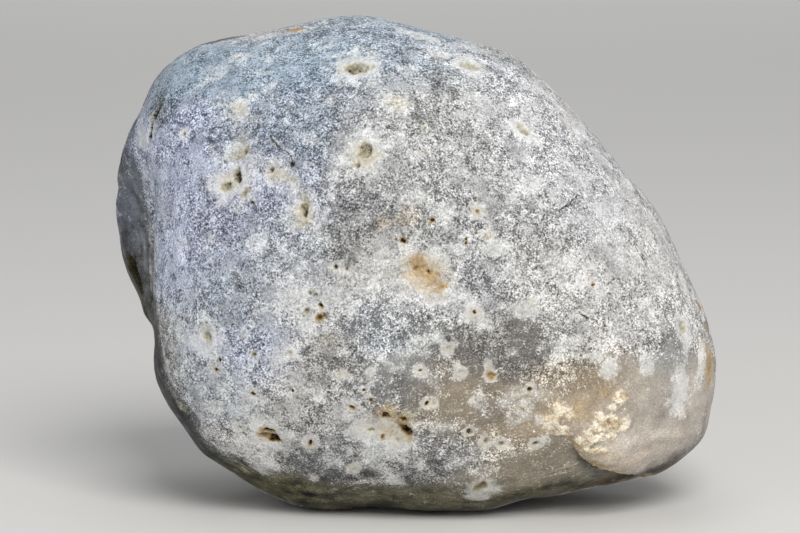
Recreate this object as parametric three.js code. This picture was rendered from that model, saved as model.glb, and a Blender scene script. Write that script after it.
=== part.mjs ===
// A waterline agate: one beach-worn nodule of grey chalcedony, etched and pitted by the weather.
// Units are millimetres, +Z is up, and the broad front looks along -Y.
// The origin is on the surface that the stone rests on, under the middle of its bounding box.
//
// The form comes in steps. Worn faces, softly blended, give a rounded body. The body is drawn in or out
// until its outline from the front is the measured one, and a flap is added on its left. The ledge, the
// pits and the lumps are then pressed into the surface along its normal, and the base is worn flat.
//
// All of this is worked out in the eye's frame: x to the right, y up, z towards the eye. The eye looks
// down on the stone by a few degrees, and standing() turns the result into the stone's own frame.
import * as THREE from "three";

// Driving dimensions. The stone is 75 mm wide, which makes 8 pixels of the photograph 1 mm.
const PIXELS_PER_MM = 8;
const PICTURE_MIDDLE = [400, 266.5];
const EYE_DISTANCE = 500;
const EYE_TILT = THREE.MathUtils.degToRad(8);

// Where the picture's middle lies in the stone's own frame, and where the stone's heart lies from there.
const MIDDLE = new THREE.Vector3(-1.7, -0.55, 29.15);
const HEART = new THREE.Vector3(0.4, -1, 0);

// The base: what reaches lower than the wear is flat, and the blend above it is rounded.
const BASE = { wear: 0.35, blend: 0.35 };

// The outline from the front, in pixels of the photograph, anticlockwise from the top. On the left it
// follows the flap, a broken layer that stands out behind the crisp edge of the front.
const ABOVE_FLAP = [
  [356, 16], [339, 17], [310, 22.5], [276, 29], [238, 36], [215, 41], [192, 48], [176, 58], [163, 70],
  [153, 84], [146, 99], [141, 112],
];
const FLAP_EDGE = [
  [134, 122], [127, 138], [122, 151], [118, 164], [115.5, 180], [118, 187], [115.5, 199], [117, 218],
  [121, 237], [123, 255], [127, 266], [132, 281], [139, 293], [142.5, 306], [145, 316],
];
const FRONT_EDGE = [[139, 130], [141, 150], [144, 170], [148, 195], [151, 238], [152, 280], [152.5, 310]];
const BELOW_FLAP = [
  [152.5, 325], [152, 343], [153, 370], [160, 389], [167, 404], [176, 416], [186, 428], [195, 444],
  [204, 454], [217, 462], [232, 471], [248, 482], [263, 491], [276, 499], [289, 504], [306, 509],
  [326, 511], [337, 511], [350, 509], [363, 506], [380, 507], [397, 509], [413, 511], [446, 511],
  [468, 510.5], [488, 510], [503, 506], [518, 502], [533, 498], [551, 497], [567, 493], [592, 487.5],
  [607, 486], [630, 481], [649, 475.5], [664, 470], [678, 462], [691, 451], [703, 437], [707, 426],
  [711, 405], [714, 386], [716, 372], [716, 355], [713, 342], [708, 324], [703, 308], [697, 295],
  [689, 280], [682, 263], [674, 246], [666, 228], [657, 212], [641, 191], [618, 165], [603, 145],
  [588, 128], [575, 112], [560, 98], [545, 83.5], [532, 70], [519, 59], [506, 52], [486, 46], [467, 40],
  [445, 35], [426, 31], [408, 26], [393, 21], [380, 18],
];

// The worn faces, each as [turn, rise, reach]: the way it looks, turned anticlockwise from the right and
// raised towards the eye, both in degrees, and how far from the stone's heart it lies.
const SOFTNESS = 9;
const WORN_FACES = [
  // around the rim
  [-5, -4, 39], [21, -2, 33.5], [39, -4, 30], [74, -6, 31.5], [104, -8, 35], [144, -10, 41],
  [160, -14, 39.5], [180, -16, 37], [204, 0, 34], [237, -4, 32.5], [270, -8, 29.3], [284, -8, 30.5],
  [306, 0, 39],
  // the bevel between the rim and the front
  [35, 36, 29.5], [0, 34, 34], [310, 36, 34.5], [265, 38, 29], [225, 36, 32], [180, 24, 35],
  [140, 36, 34.5], [95, 38, 30.5],
  // the broad front
  [150, 74, 26], [40, 68, 26], [300, 72, 25.5], [220, 70, 26.5],
  // the bevel behind the rim
  [20, -38, 31.5], [80, -35, 30.5], [140, -42, 32.5], [200, -35, 31.5], [260, -32, 30], [320, -38, 32.5],
  // the back
  [100, -70, 25.5], [330, -66, 26.5], [210, -72, 26],
].map(([turn, rise, reach]) => ({ reach, way: compass(turn, rise) }));

// Broad swells and finer lumps all over the stone: how wide, and how high or deep.
const SWELLS = { width: 26, height: 0.35, seed: 3 };
const LUMPS = { width: 7.5, height: 0.1, seed: 11 };

// The golden section spreads directions and sizes evenly, with no repeats.
const GOLDEN_SHARE = 0.618034;
const GOLDEN_TURN = 137.508;

// A unit vector that turns anticlockwise from the right, and rises towards the eye.
function compass(turn, rise) {
  const [t, r] = [turn, rise].map(THREE.MathUtils.degToRad);
  return new THREE.Vector3(Math.cos(r) * Math.cos(t), Math.cos(r) * Math.sin(t), Math.sin(r));
}

function smoothstep(from, to, x) {
  const t = Math.min(1, Math.max(0, (x - from) / (to - from)));
  return t * t * (3 - 2 * t);
}

// A smooth wavy field with a height of about 1: seven plane waves that run different ways.
function waves(p, { width, seed }) {
  const COUNT = 7;
  let sum = 0;
  for (let k = 0; k < COUNT; k++) {
    const rise = THREE.MathUtils.radToDeg(Math.asin(((k + 0.5) / COUNT) * 2 - 1));
    const pitch = width * (0.75 + 0.5 * ((GOLDEN_SHARE * (k + seed)) % 1));
    const along = p.dot(compass(GOLDEN_TURN * (k + seed), rise));
    sum += Math.sin((2 * Math.PI * along) / pitch + 1.7 * k + seed);
  }
  return sum / Math.sqrt(COUNT);
}

// The rounded body, as a point around the heart: x is to the right, y up and z towards the eye.
function bodyPoint(way) {
  let sum = 0;
  for (const face of WORN_FACES) sum += Math.max(0, way.dot(face.way) / face.reach) ** SOFTNESS;
  const p = way.clone().multiplyScalar(sum ** (-1 / SOFTNESS));
  return p.addScaledVector(way, SWELLS.height * waves(p, SWELLS));
}

// An outline's distance from the heart at each turn, by a smooth curve through its points.
function outlineReach(points) {
  const rim = points.map(([px, py]) => {
    const x = (px - PICTURE_MIDDLE[0]) / PIXELS_PER_MM - HEART.x;
    const y = (PICTURE_MIDDLE[1] - py) / PIXELS_PER_MM - HEART.y;
    return { turn: Math.atan2(y, x), reach: Math.hypot(x, y) };
  }).sort((a, b) => a.turn - b.turn);
  const knot = (i) => {
    const lap = Math.floor(i / rim.length);
    const { turn, reach } = rim[i - lap * rim.length];
    return { turn: turn + lap * 2 * Math.PI, reach };
  };
  return (turn) => {
    let i = rim.findIndex((k) => k.turn > turn);
    if (i < 0) i = rim.length;
    const [a, b, c, d] = [i - 2, i - 1, i, i + 1].map(knot);
    const span = c.turn - b.turn;
    const t = (turn - b.turn) / span;
    const slopeB = ((c.reach - a.reach) / (c.turn - a.turn)) * span;
    const slopeC = ((d.reach - b.reach) / (d.turn - b.turn)) * span;
    return (
      b.reach * (2 * t ** 3 - 3 * t ** 2 + 1) + slopeB * (t ** 3 - 2 * t ** 2 + t) +
      c.reach * (3 * t ** 2 - 2 * t ** 3) + slopeC * (t ** 3 - t ** 2)
    );
  };
}

// How much nearer things look bigger to the eye.
function closeness(z) {
  return EYE_DISTANCE / (EYE_DISTANCE - z);
}

// The picture's pixel for a point.
function pixelOf(p) {
  const k = closeness(p.z) * PIXELS_PER_MM;
  return [PICTURE_MIDDLE[0] + p.x * k, PICTURE_MIDDLE[1] - p.y * k];
}

// Tables by turn, all in millimetres across the picture: the two outlines, and the body's own widest.
const TURNS = 720;
function byTurn(measure) {
  return Array.from({ length: TURNS }, (_, i) => measure((i / TURNS) * 2 * Math.PI - Math.PI));
}
const frontRim = byTurn(outlineReach([...ABOVE_FLAP, ...FRONT_EDGE, ...BELOW_FLAP]));
const outerRim = byTurn(outlineReach([...ABOVE_FLAP, ...FLAP_EDGE, ...BELOW_FLAP]));
const widest = byTurn((turn) => {
  let reach = 0;
  for (let rise = -60; rise <= 60; rise += 2) {
    const p = bodyPoint(compass(THREE.MathUtils.radToDeg(turn), rise));
    reach = Math.max(reach, Math.hypot(p.x, p.y) * closeness(p.z));
  }
  return reach;
});
function evenedOut(list, reach) {
  return list.map((_, i) => {
    let sum = 0;
    for (let k = i - reach; k <= i + reach; k++) sum += list[(k + TURNS) % TURNS];
    return sum / (2 * reach + 1);
  });
}
function reader(p) {
  const at = ((Math.atan2(p.y, p.x) + Math.PI) / (2 * Math.PI)) * TURNS;
  const i = Math.floor(at);
  return (list) => THREE.MathUtils.lerp(list[i % TURNS], list[(i + 1) % TURNS], at - i);
}

// How far the body is drawn in or out, so that its outline is the measured one. The exact correction is
// kept for the very rim, and calmer ones serve further in, so that no notch runs on as a groove.
const exactFit = frontRim.map((reach, i) => reach / widest[i]);
const closeFit = evenedOut(exactFit, 12);
const calmFit = evenedOut(exactFit, 50);
function fitted(p) {
  const read = reader(p);
  const share = (Math.hypot(p.x, p.y) * closeness(p.z)) / read(widest);
  let scale = THREE.MathUtils.lerp(read(calmFit), read(closeFit), smoothstep(0.5, 0.9, share));
  scale = THREE.MathUtils.lerp(scale, read(exactFit), smoothstep(0.9, 0.995, share));
  return new THREE.Vector3(p.x * scale, p.y * scale, p.z);
}

// The flap stands out behind the front's edge, with a hollow scooped between the two. It crests further
// back lower down. The body behind the edge is first filled out to the edge's own reach.
// Heights are in degrees above the heart's level: the flap starts at its top and ends at its foot.
const FLAP = {
  top: 28, foot: -8, fade: 17,
  start: { top: 8, foot: 3 }, crest: { top: 2, foot: -8 }, back: -24,
  scoop: 1.9, scoopWidth: 3,
};
function flapped(p) {
  if (p.x > -8) return p;
  const read = reader(p);
  const height = THREE.MathUtils.radToDeg(Math.atan2(p.y, -p.x));
  const down = smoothstep(FLAP.top, FLAP.top - 22, height);
  const start = THREE.MathUtils.lerp(FLAP.start.top, FLAP.start.foot, down);
  const crest = THREE.MathUtils.lerp(FLAP.crest.top, FLAP.crest.foot, down);
  const within =
    smoothstep(FLAP.top, FLAP.top - FLAP.fade, height) * smoothstep(FLAP.foot - FLAP.fade, FLAP.foot, height);
  const rise = smoothstep(start, crest, p.z) * (1 - smoothstep(crest - 2, FLAP.back, p.z));
  const reach = Math.hypot(p.x, p.y);
  const filling = within * Math.max(0, read(frontRim) / closeness(p.z) - reach);
  const beyond = Math.max(0, read(outerRim) - read(frontRim)) / closeness(p.z);
  const out = rise * (filling + beyond);
  const dip = FLAP.scoop * within * Math.exp(-(((p.z - start + 0.6) / FLAP.scoopWidth) ** 2));
  const scale = 1 + (out - dip) / reach;
  return new THREE.Vector3(p.x * scale, p.y * scale, p.z);
}
function smoothPoint(way) {
  return flapped(fitted(bodyPoint(way))).add(HEART);
}

// The smooth stone's point and outward normal along a way from its heart.
const STEP = 0.01;
function smoothSite(way) {
  const side = new THREE.Vector3(way.y, way.z, way.x).cross(way).normalize();
  const up = way.clone().cross(side);
  const point = smoothPoint(way);
  const nearby = (tilt) => smoothPoint(way.clone().addScaledVector(tilt, STEP).normalize()).sub(point);
  const normal = nearby(side).cross(nearby(up)).normalize();
  if (normal.dot(way) < 0) normal.negate();
  return { point, normal };
}

// The site on the front that a pixel of the picture shows.
function siteAt(px, py) {
  const want = [(px - PICTURE_MIDDLE[0]) / PIXELS_PER_MM, (PICTURE_MIDDLE[1] - py) / PIXELS_PER_MM];
  const turn = Math.atan2(want[1] - HEART.y, want[0] - HEART.x);
  const reach = Math.hypot(want[0] - HEART.x, want[1] - HEART.y);
  let [low, high] = [0, 90];
  for (let step = 0; step < 30; step++) {
    const rise = (low + high) / 2;
    const p = smoothPoint(compass(THREE.MathUtils.radToDeg(turn), rise));
    const seen = Math.hypot(p.x - HEART.x, p.y - HEART.y) * closeness(p.z);
    if (seen > reach) low = rise;
    else high = rise;
  }
  return smoothSite(compass(THREE.MathUtils.radToDeg(turn), (low + high) / 2));
}

// The ledge at the lower right: a broken layer whose edge stands above the glassy floor below it.
// The edge and the lengths over which it fades in and out are in pixels, and the rest in millimetres.
const LEDGE = {
  edge: [
    [540, 418], [556, 424], [567, 432], [572, 441], [579, 450], [590, 459], [603, 466], [618, 471],
    [660, 477],
  ],
  fadeIn: 45, fadeOut: 50,
  raised: 0.5, sunk: 0.8, step: 0.25, run: 6,
};
function ledge(p) {
  if (p.z < 0) return 0;
  const [px, py] = pixelOf(p);
  let nearest = { distance: Infinity };
  let start = 0;
  for (let i = 1; i < LEDGE.edge.length; i++) {
    const [[ax, ay], [bx, by]] = [LEDGE.edge[i - 1], LEDGE.edge[i]];
    const [dx, dy] = [bx - ax, by - ay];
    const length = Math.hypot(dx, dy);
    const t = ((px - ax) * dx + (py - ay) * dy) / length ** 2;
    const held = Math.min(1, Math.max(0, t));
    const distance = Math.hypot(px - ax - held * dx, py - ay - held * dy);
    if (distance < nearest.distance) {
      const side = Math.sign(dx * (py - ay) - dy * (px - ax));
      nearest = { distance, side, along: start + held * length };
    }
    start += length;
  }
  const below = (nearest.side * nearest.distance) / PIXELS_PER_MM;
  const ends =
    smoothstep(0, LEDGE.fadeIn, nearest.along) * (1 - smoothstep(start - LEDGE.fadeOut, start, nearest.along));
  const down = smoothstep(-LEDGE.step, LEDGE.step, below);
  const height = LEDGE.raised * (1 - down) - LEDGE.sunk * down * smoothstep(1, 8, p.z);
  return height * ends * smoothstep(0, 3, p.z) * Math.exp(-Math.abs(below) / LEDGE.run);
}

// Pits on the front: where each one shows in the photograph, its half length and half width, how its
// length is turned, and its depth. The broad, shallow ones are worn basins.
const PITS = [
  { at: [358, 68], long: 1.7, wide: 0.75, turn: -4, deep: 0.8 },
  { at: [366, 152], long: 0.9, wide: 0.7, turn: 60, deep: 0.7 },
  { at: [241, 151], long: 1.1, wide: 0.7, turn: 55, deep: 0.4 },
  { at: [238, 177], long: 1.1, wide: 0.6, turn: 75, deep: 0.9 },
  { at: [227, 188], long: 0.9, wide: 0.6, turn: 45, deep: 0.7 },
  { at: [272, 169], long: 0.7, wide: 0.5, turn: 45, deep: 0.5 },
  { at: [306, 211], long: 1.3, wide: 0.6, turn: 80, deep: 0.9 },
  { at: [157, 103], long: 1.6, wide: 0.55, turn: 70, deep: 0.9 },
  { at: [151, 130], long: 1.7, wide: 0.5, turn: 72, deep: 0.8 },
  { at: [472, 67], long: 1.5, wide: 0.6, turn: -14, deep: 0.6 },
  { at: [522, 130], long: 1.4, wide: 0.6, turn: -35, deep: 0.8 },
  { at: [403, 240], long: 0.6, wide: 0.5, turn: 0, deep: 0.6 },
  { at: [426, 273], long: 2.6, wide: 1.7, turn: -25, deep: 0.45 },
  { at: [320, 312], long: 1.2, wide: 0.6, turn: 85, deep: 0.9 },
  { at: [207, 334], long: 0.8, wide: 0.6, turn: 80, deep: 0.5 },
  { at: [272, 435], long: 1.3, wide: 0.9, turn: -25, deep: 1.4 },
  { at: [311, 442], long: 0.7, wide: 0.45, turn: 75, deep: 0.7 },
  { at: [388, 430], long: 3.8, wide: 2.2, turn: -12, deep: 0.6 },
  { at: [406, 429], long: 0.9, wide: 0.6, turn: -55, deep: 1.1 },
  { at: [386, 413], long: 0.6, wide: 0.5, turn: 0, deep: 0.6 },
  { at: [485, 439], long: 0.7, wide: 0.5, turn: 80, deep: 0.6 },
  { at: [502, 442], long: 0.6, wide: 0.5, turn: 0, deep: 0.5 },
  { at: [535, 441], long: 0.7, wide: 0.6, turn: 0, deep: 0.5 },
  { at: [483, 484], long: 0.9, wide: 0.7, turn: 35, deep: 0.9 },
  { at: [491, 374], long: 0.6, wide: 0.6, turn: 0, deep: 0.6 },
  { at: [448, 348], long: 0.6, wide: 0.5, turn: 0, deep: 0.35 },
  { at: [236, 461], long: 1.3, wide: 0.6, turn: -25, deep: 0.8 },
  { at: [191, 413], long: 2.6, wide: 1, turn: -35, deep: 0.9 },
  { at: [683, 327], long: 1.2, wide: 0.6, turn: 80, deep: 0.7 },
  { at: [575, 409], long: 2.4, wide: 1.6, turn: 20, deep: 0.4 },
].map((pit) => ({ ...pit, ...siteAt(...pit.at), along: compass(pit.turn, 0) }));

// Pits on the sides and back, spread by a spiral that leaves the front clear.
const HIDDEN = { count: 16, firstRise: -4, lastRise: -88, smallest: 0.55, largest: 1.4 };
for (let i = 0; i < HIDDEN.count; i++) {
  const share = (i + 0.5) / HIDDEN.count;
  const rise = THREE.MathUtils.lerp(HIDDEN.firstRise, HIDDEN.lastRise, share ** 0.8);
  const size = THREE.MathUtils.lerp(HIDDEN.smallest, HIDDEN.largest, ((GOLDEN_SHARE * i) % 1) ** 2);
  PITS.push({
    long: 1.25 * size, wide: 0.8 * size, deep: 0.8 * size,
    ...smoothSite(compass(GOLDEN_TURN * i + 20, rise)), along: compass(47 * i, 0),
  });
}

// How far from a pit's middle a point is: 1 is its edge.
function pitDistance(pit, p) {
  const off = p.clone().sub(pit.point);
  const t = off.dot(pit.along.clone().projectOnPlane(pit.normal).normalize());
  return Math.sqrt((t / pit.long) ** 2 + Math.max(0, off.lengthSq() - t * t) / pit.wide ** 2);
}
function pitted(p) {
  let depth = 0;
  for (const pit of PITS) {
    if (p.distanceToSquared(pit.point) < (1.4 * pit.long) ** 2)
      depth += pit.deep * (1 - smoothstep(0.25, 1.15, pitDistance(pit, p)));
  }
  return -depth;
}

// The finished surface's point along a way from the heart, still in the eye's frame.
function stonePoint(way) {
  const { point, normal } = smoothSite(way);
  const relief = ledge(point) + pitted(point) + LUMPS.height * waves(point, LUMPS);
  return point.addScaledVector(normal, relief);
}

// Turns a point of the eye's frame into the stone's own, +Z up, and wears the lowest part flat.
function standing(p) {
  const [s, c] = [Math.sin(EYE_TILT), Math.cos(EYE_TILT)];
  const q = new THREE.Vector3(p.x, p.y * s - p.z * c, p.y * c + p.z * s).add(MIDDLE);
  const worn = BASE.blend + BASE.wear;
  if (q.z < BASE.blend) q.z = BASE.blend * Math.max(0, (q.z + BASE.wear) / worn) ** (worn / BASE.blend);
  return q;
}

// The mesh is cut finer where an edge is longer than its place allows, or where its middle stands off the
// surface by more than the tolerance. Edges are longest on the plain faces.
const MESH = {
  start: 10, rounds: 6, plain: 4.6, flap: 2.4, ledge: 1.4, pit: 1.3, tolerance: 0.14, shortest: 1.25,
};
function longestEdge(p) {
  let edge = MESH.plain;
  if (p.x < -24 && Math.abs(p.y - 5) < 15 && Math.abs(p.z) < 10) edge = MESH.flap;
  const [px, py] = pixelOf(p);
  for (const [x, y] of LEDGE.edge) {
    if (p.z > 0 && Math.hypot(px - x, py - y) < MESH.ledge * PIXELS_PER_MM) edge = Math.min(edge, MESH.ledge);
  }
  for (const pit of PITS) {
    if (p.distanceTo(pit.point) < 1.1 * pit.long) edge = Math.min(edge, MESH.pit * pit.wide);
  }
  return edge;
}

// The corners of the mesh, each made once, with the way from the heart that it lies along.
const ways = [];
const corners = [];
const known = new Map();
function corner(way) {
  const key = way.toArray().map((n) => n.toFixed(5)).join();
  if (!known.has(key)) {
    known.set(key, ways.length);
    ways.push(way);
    corners.push(stonePoint(way));
  }
  return known.get(key);
}
function between(a, b) {
  return ways[a].clone().add(ways[b]).normalize();
}

// A face's edges, longest first, each with the corner across from it.
function edgesOf([a, b, c]) {
  const length = ([from, to]) => corners[from].distanceTo(corners[to]);
  return [[a, b, c], [b, c, a], [c, a, b]].sort((e, f) => length(f) - length(e));
}
function edgeName(a, b) {
  return a < b ? `${a},${b}` : `${b},${a}`;
}
function isTooLong(a, b) {
  const length = corners[a].distanceTo(corners[b]);
  const middle = corners[a].clone().lerp(corners[b], 0.5);
  if (length > longestEdge(middle)) return true;
  return length > MESH.shortest && stonePoint(between(a, b)).distanceTo(middle) > MESH.tolerance;
}

// Splits a face across its longest cut edge, and so on until none of its edges is cut.
function split(face, cuts) {
  const edge = edgesOf(face).find(([a, b]) => cuts.has(edgeName(a, b)));
  if (!edge) return [face];
  const [a, b, c] = edge;
  const middle = cuts.get(edgeName(a, b));
  return [...split([a, middle, c], cuts), ...split([middle, b, c], cuts)];
}

// The mesh starts as an even ball of triangles. Each round halves the edges that are too long, and the
// longest edge of every face that it touches, so that no thin slivers come of it.
function stoneGeometry() {
  const ball = new THREE.IcosahedronGeometry(1, MESH.start).getAttribute("position");
  let faces = [];
  const ballCorner = (k) => corner(new THREE.Vector3().fromBufferAttribute(ball, k).normalize());
  for (let i = 0; i < ball.count; i += 3) faces.push([i, i + 1, i + 2].map(ballCorner));
  for (let round = 0; round < MESH.rounds; round++) {
    const cuts = new Map();
    const mark = ([a, b]) => {
      if (!cuts.has(edgeName(a, b))) cuts.set(edgeName(a, b), corner(between(a, b)));
    };
    for (const face of faces) edgesOf(face).filter(([a, b]) => isTooLong(a, b)).forEach(mark);
    for (let before = -1; before !== cuts.size; ) {
      before = cuts.size;
      for (const face of faces) {
        const edges = edgesOf(face);
        if (edges.some(([a, b]) => cuts.has(edgeName(a, b)))) mark(edges[0]);
      }
    }
    faces = faces.flatMap((face) => split(face, cuts));
  }
  const geometry = new THREE.BufferGeometry().setFromPoints(corners.map(standing));
  geometry.setIndex(faces.flat());
  geometry.computeVertexNormals();
  return geometry;
}

const chalcedony = new THREE.MeshStandardMaterial({ color: 0xa9abae, roughness: 0.62, metalness: 0 });
const nodule = new THREE.Mesh(stoneGeometry(), chalcedony);
nodule.name = "agate_nodule";

const stone = new THREE.Group();
stone.add(nodule);

export default stone;
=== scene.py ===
# A waterline agate: one beach-worn nodule of grey chalcedony, frosted, etched and pitted by the weather.
# Sizes are written in millimetres, as the real stone's. Marks are placed by the pixel of the 800 x 533
# photograph that shows them, and are measured along the surface from there.
import math

import bmesh
import bpy
import numpy as np
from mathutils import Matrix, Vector, noise
from mathutils.bvhtree import BVHTree


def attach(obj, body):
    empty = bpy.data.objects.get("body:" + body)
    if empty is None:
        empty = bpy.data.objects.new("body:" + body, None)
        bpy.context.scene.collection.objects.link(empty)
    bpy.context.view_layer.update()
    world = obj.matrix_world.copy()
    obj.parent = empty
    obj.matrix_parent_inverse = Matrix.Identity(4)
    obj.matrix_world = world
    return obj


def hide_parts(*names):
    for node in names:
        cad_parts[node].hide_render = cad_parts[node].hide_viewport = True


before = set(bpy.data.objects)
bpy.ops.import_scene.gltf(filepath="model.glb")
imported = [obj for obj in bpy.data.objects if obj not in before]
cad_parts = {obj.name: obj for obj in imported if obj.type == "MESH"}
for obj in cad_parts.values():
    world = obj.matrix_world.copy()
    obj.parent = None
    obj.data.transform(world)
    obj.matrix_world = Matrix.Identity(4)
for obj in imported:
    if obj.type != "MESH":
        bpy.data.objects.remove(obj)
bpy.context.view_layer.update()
scene = bpy.context.scene

# The studio. The camera stands where the photograph was taken from, half a metre away and looking down by
# a few degrees, so that 8 pixels are 1 mm at the stone's middle. A broad soft light hangs over the right
# shoulder, a weaker one fills in from the left, and the floor is plain and pale.
MM = 0.001
PICTURE = (800, 533)
PIXELS_PER_MM = 8
EYE_DISTANCE = 500
EYE_TILT = math.radians(8)
MIDDLE = np.array([-1.7, -0.55, 29.15])
RIGHT = np.array([1, 0, 0])
UP = np.array([0, math.sin(EYE_TILT), math.cos(EYE_TILT)])
BACK = np.array([0, -math.cos(EYE_TILT), math.sin(EYE_TILT)])
EYE = MIDDLE + EYE_DISTANCE * BACK
SENSOR_WIDTH = 36
NEAREST_SEEN = 10

camera_data = bpy.data.cameras.new("eye")
camera_data.sensor_width = SENSOR_WIDTH
camera_data.lens = SENSOR_WIDTH * EYE_DISTANCE * PIXELS_PER_MM / PICTURE[0]
camera_data.clip_start = NEAREST_SEEN * MM
camera = bpy.data.objects.new("eye", camera_data)
camera.location = EYE * MM
camera.rotation_euler = (math.pi / 2 - EYE_TILT, 0, 0)
scene.collection.objects.link(camera)
scene.camera = camera
scene.view_settings.view_transform = "Standard"


def soft_light(name, place, size, watts, tint, target=MIDDLE):
    """A square lamp that faces the middle of the stone, or another place."""
    data = bpy.data.lights.new(name, "AREA")
    data.size = size * MM
    data.energy = watts
    data.color = tint
    lamp = bpy.data.objects.new(name, data)
    lamp.location = Vector(place) * MM
    aim = Vector(target) * MM - lamp.location
    lamp.rotation_euler = aim.to_track_quat("-Z", "Y").to_euler()
    scene.collection.objects.link(lamp)


soft_light("key", (180, -540, 580), 420, 4.88, (1, 0.99, 0.97))
soft_light("fill", (-420, -620, 300), 500, 0.4, (0.93, 0.96, 1))
soft_light("top", (-40, 160, 700), 400, 0.5, (1, 1, 1))
soft_light("floor", (0, 1300, 800), 900, 4.0, (1, 1, 1), (0, 1200, 0))

ROOM_LIGHT = (0.9, 0.92, 0.95, 1)
ROOM_STRENGTH = 0.23
world = bpy.data.worlds.new("studio")
world.use_nodes = True
room = world.node_tree.nodes["Background"]
room.inputs["Color"].default_value = ROOM_LIGHT
room.inputs["Strength"].default_value = ROOM_STRENGTH
scene.world = world

FLOOR_SIZE = 8000
FLOOR_COLOUR = (0.78, 0.77, 0.75, 1)
FLOOR_ROUGHNESS = 0.9
bpy.ops.mesh.primitive_plane_add(size=FLOOR_SIZE * MM)
floor = bpy.context.object
floor.name = "floor"
floor_paint = bpy.data.materials.new("pale floor")
floor_paint.use_nodes = True
floor_shader = floor_paint.node_tree.nodes["Principled BSDF"]
floor_shader.inputs["Base Color"].default_value = FLOOR_COLOUR
floor_shader.inputs["Roughness"].default_value = FLOOR_ROUGHNESS
floor.data.materials.append(floor_paint)

# The stone's form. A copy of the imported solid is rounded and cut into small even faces, smaller still round
# the marks of the front, so that the pits and the ledge can be worked into it sharply.
MERGE_DISTANCE = 0.001
ROUNDING = 2
SWELL = 0.13
EVEN_FACE = 0.58
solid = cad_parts["agate_nodule"]


def as_mesh(obj, name):
    """The object's mesh with its modifiers worked in."""
    shown = obj.evaluated_get(bpy.context.evaluated_depsgraph_get())
    mesh = bpy.data.meshes.new_from_object(shown)
    mesh.name = name
    return mesh


merged = bmesh.new()
merged.from_mesh(solid.data)
bmesh.ops.remove_doubles(merged, verts=merged.verts, dist=MERGE_DISTANCE * MM)
merged_mesh = bpy.data.meshes.new("nodule_skin")
merged.to_mesh(merged_mesh)
merged.free()
nodule = bpy.data.objects.new("waterline_agate", merged_mesh)
scene.collection.objects.link(nodule)
subdivision = nodule.modifiers.new("rounding", "SUBSURF")
subdivision.levels = ROUNDING
subdivision.render_levels = ROUNDING
swelling = nodule.modifiers.new("swelling", "DISPLACE")
swelling.strength = SWELL * MM
swelling.mid_level = 0
evening = nodule.modifiers.new("even faces", "REMESH")
evening.mode = "VOXEL"
evening.voxel_size = EVEN_FACE * MM
nodule.data = as_mesh(nodule, "nodule_form")
nodule.modifiers.clear()

tree = BVHTree.FromObject(nodule, bpy.context.evaluated_depsgraph_get())


def read(values, name, width):
    """One value of each of a mesh's vertices, as rows of numbers."""
    flat = np.zeros(len(values) * width)
    values.foreach_get(name, flat)
    return flat.reshape(-1, width)


def site(x, y):
    """The point that a pixel of the photograph shows, in millimetres."""
    aim = MIDDLE + ((x - PICTURE[0] / 2) * RIGHT + (PICTURE[1] / 2 - y) * UP) / PIXELS_PER_MM
    way = Vector(aim - EYE).normalized()
    point = tree.ray_cast(Vector(EYE * MM), way)[0]
    if point is None:
        point = tree.find_nearest(Vector(aim * MM))[0]
    return np.array(point) / MM


def smooth(low, high, x):
    """0 below low, 1 above high, and a smooth rise between."""
    t = np.clip((x - low) / (high - low), 0, 1)
    return t * t * (3 - 2 * t)


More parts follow.
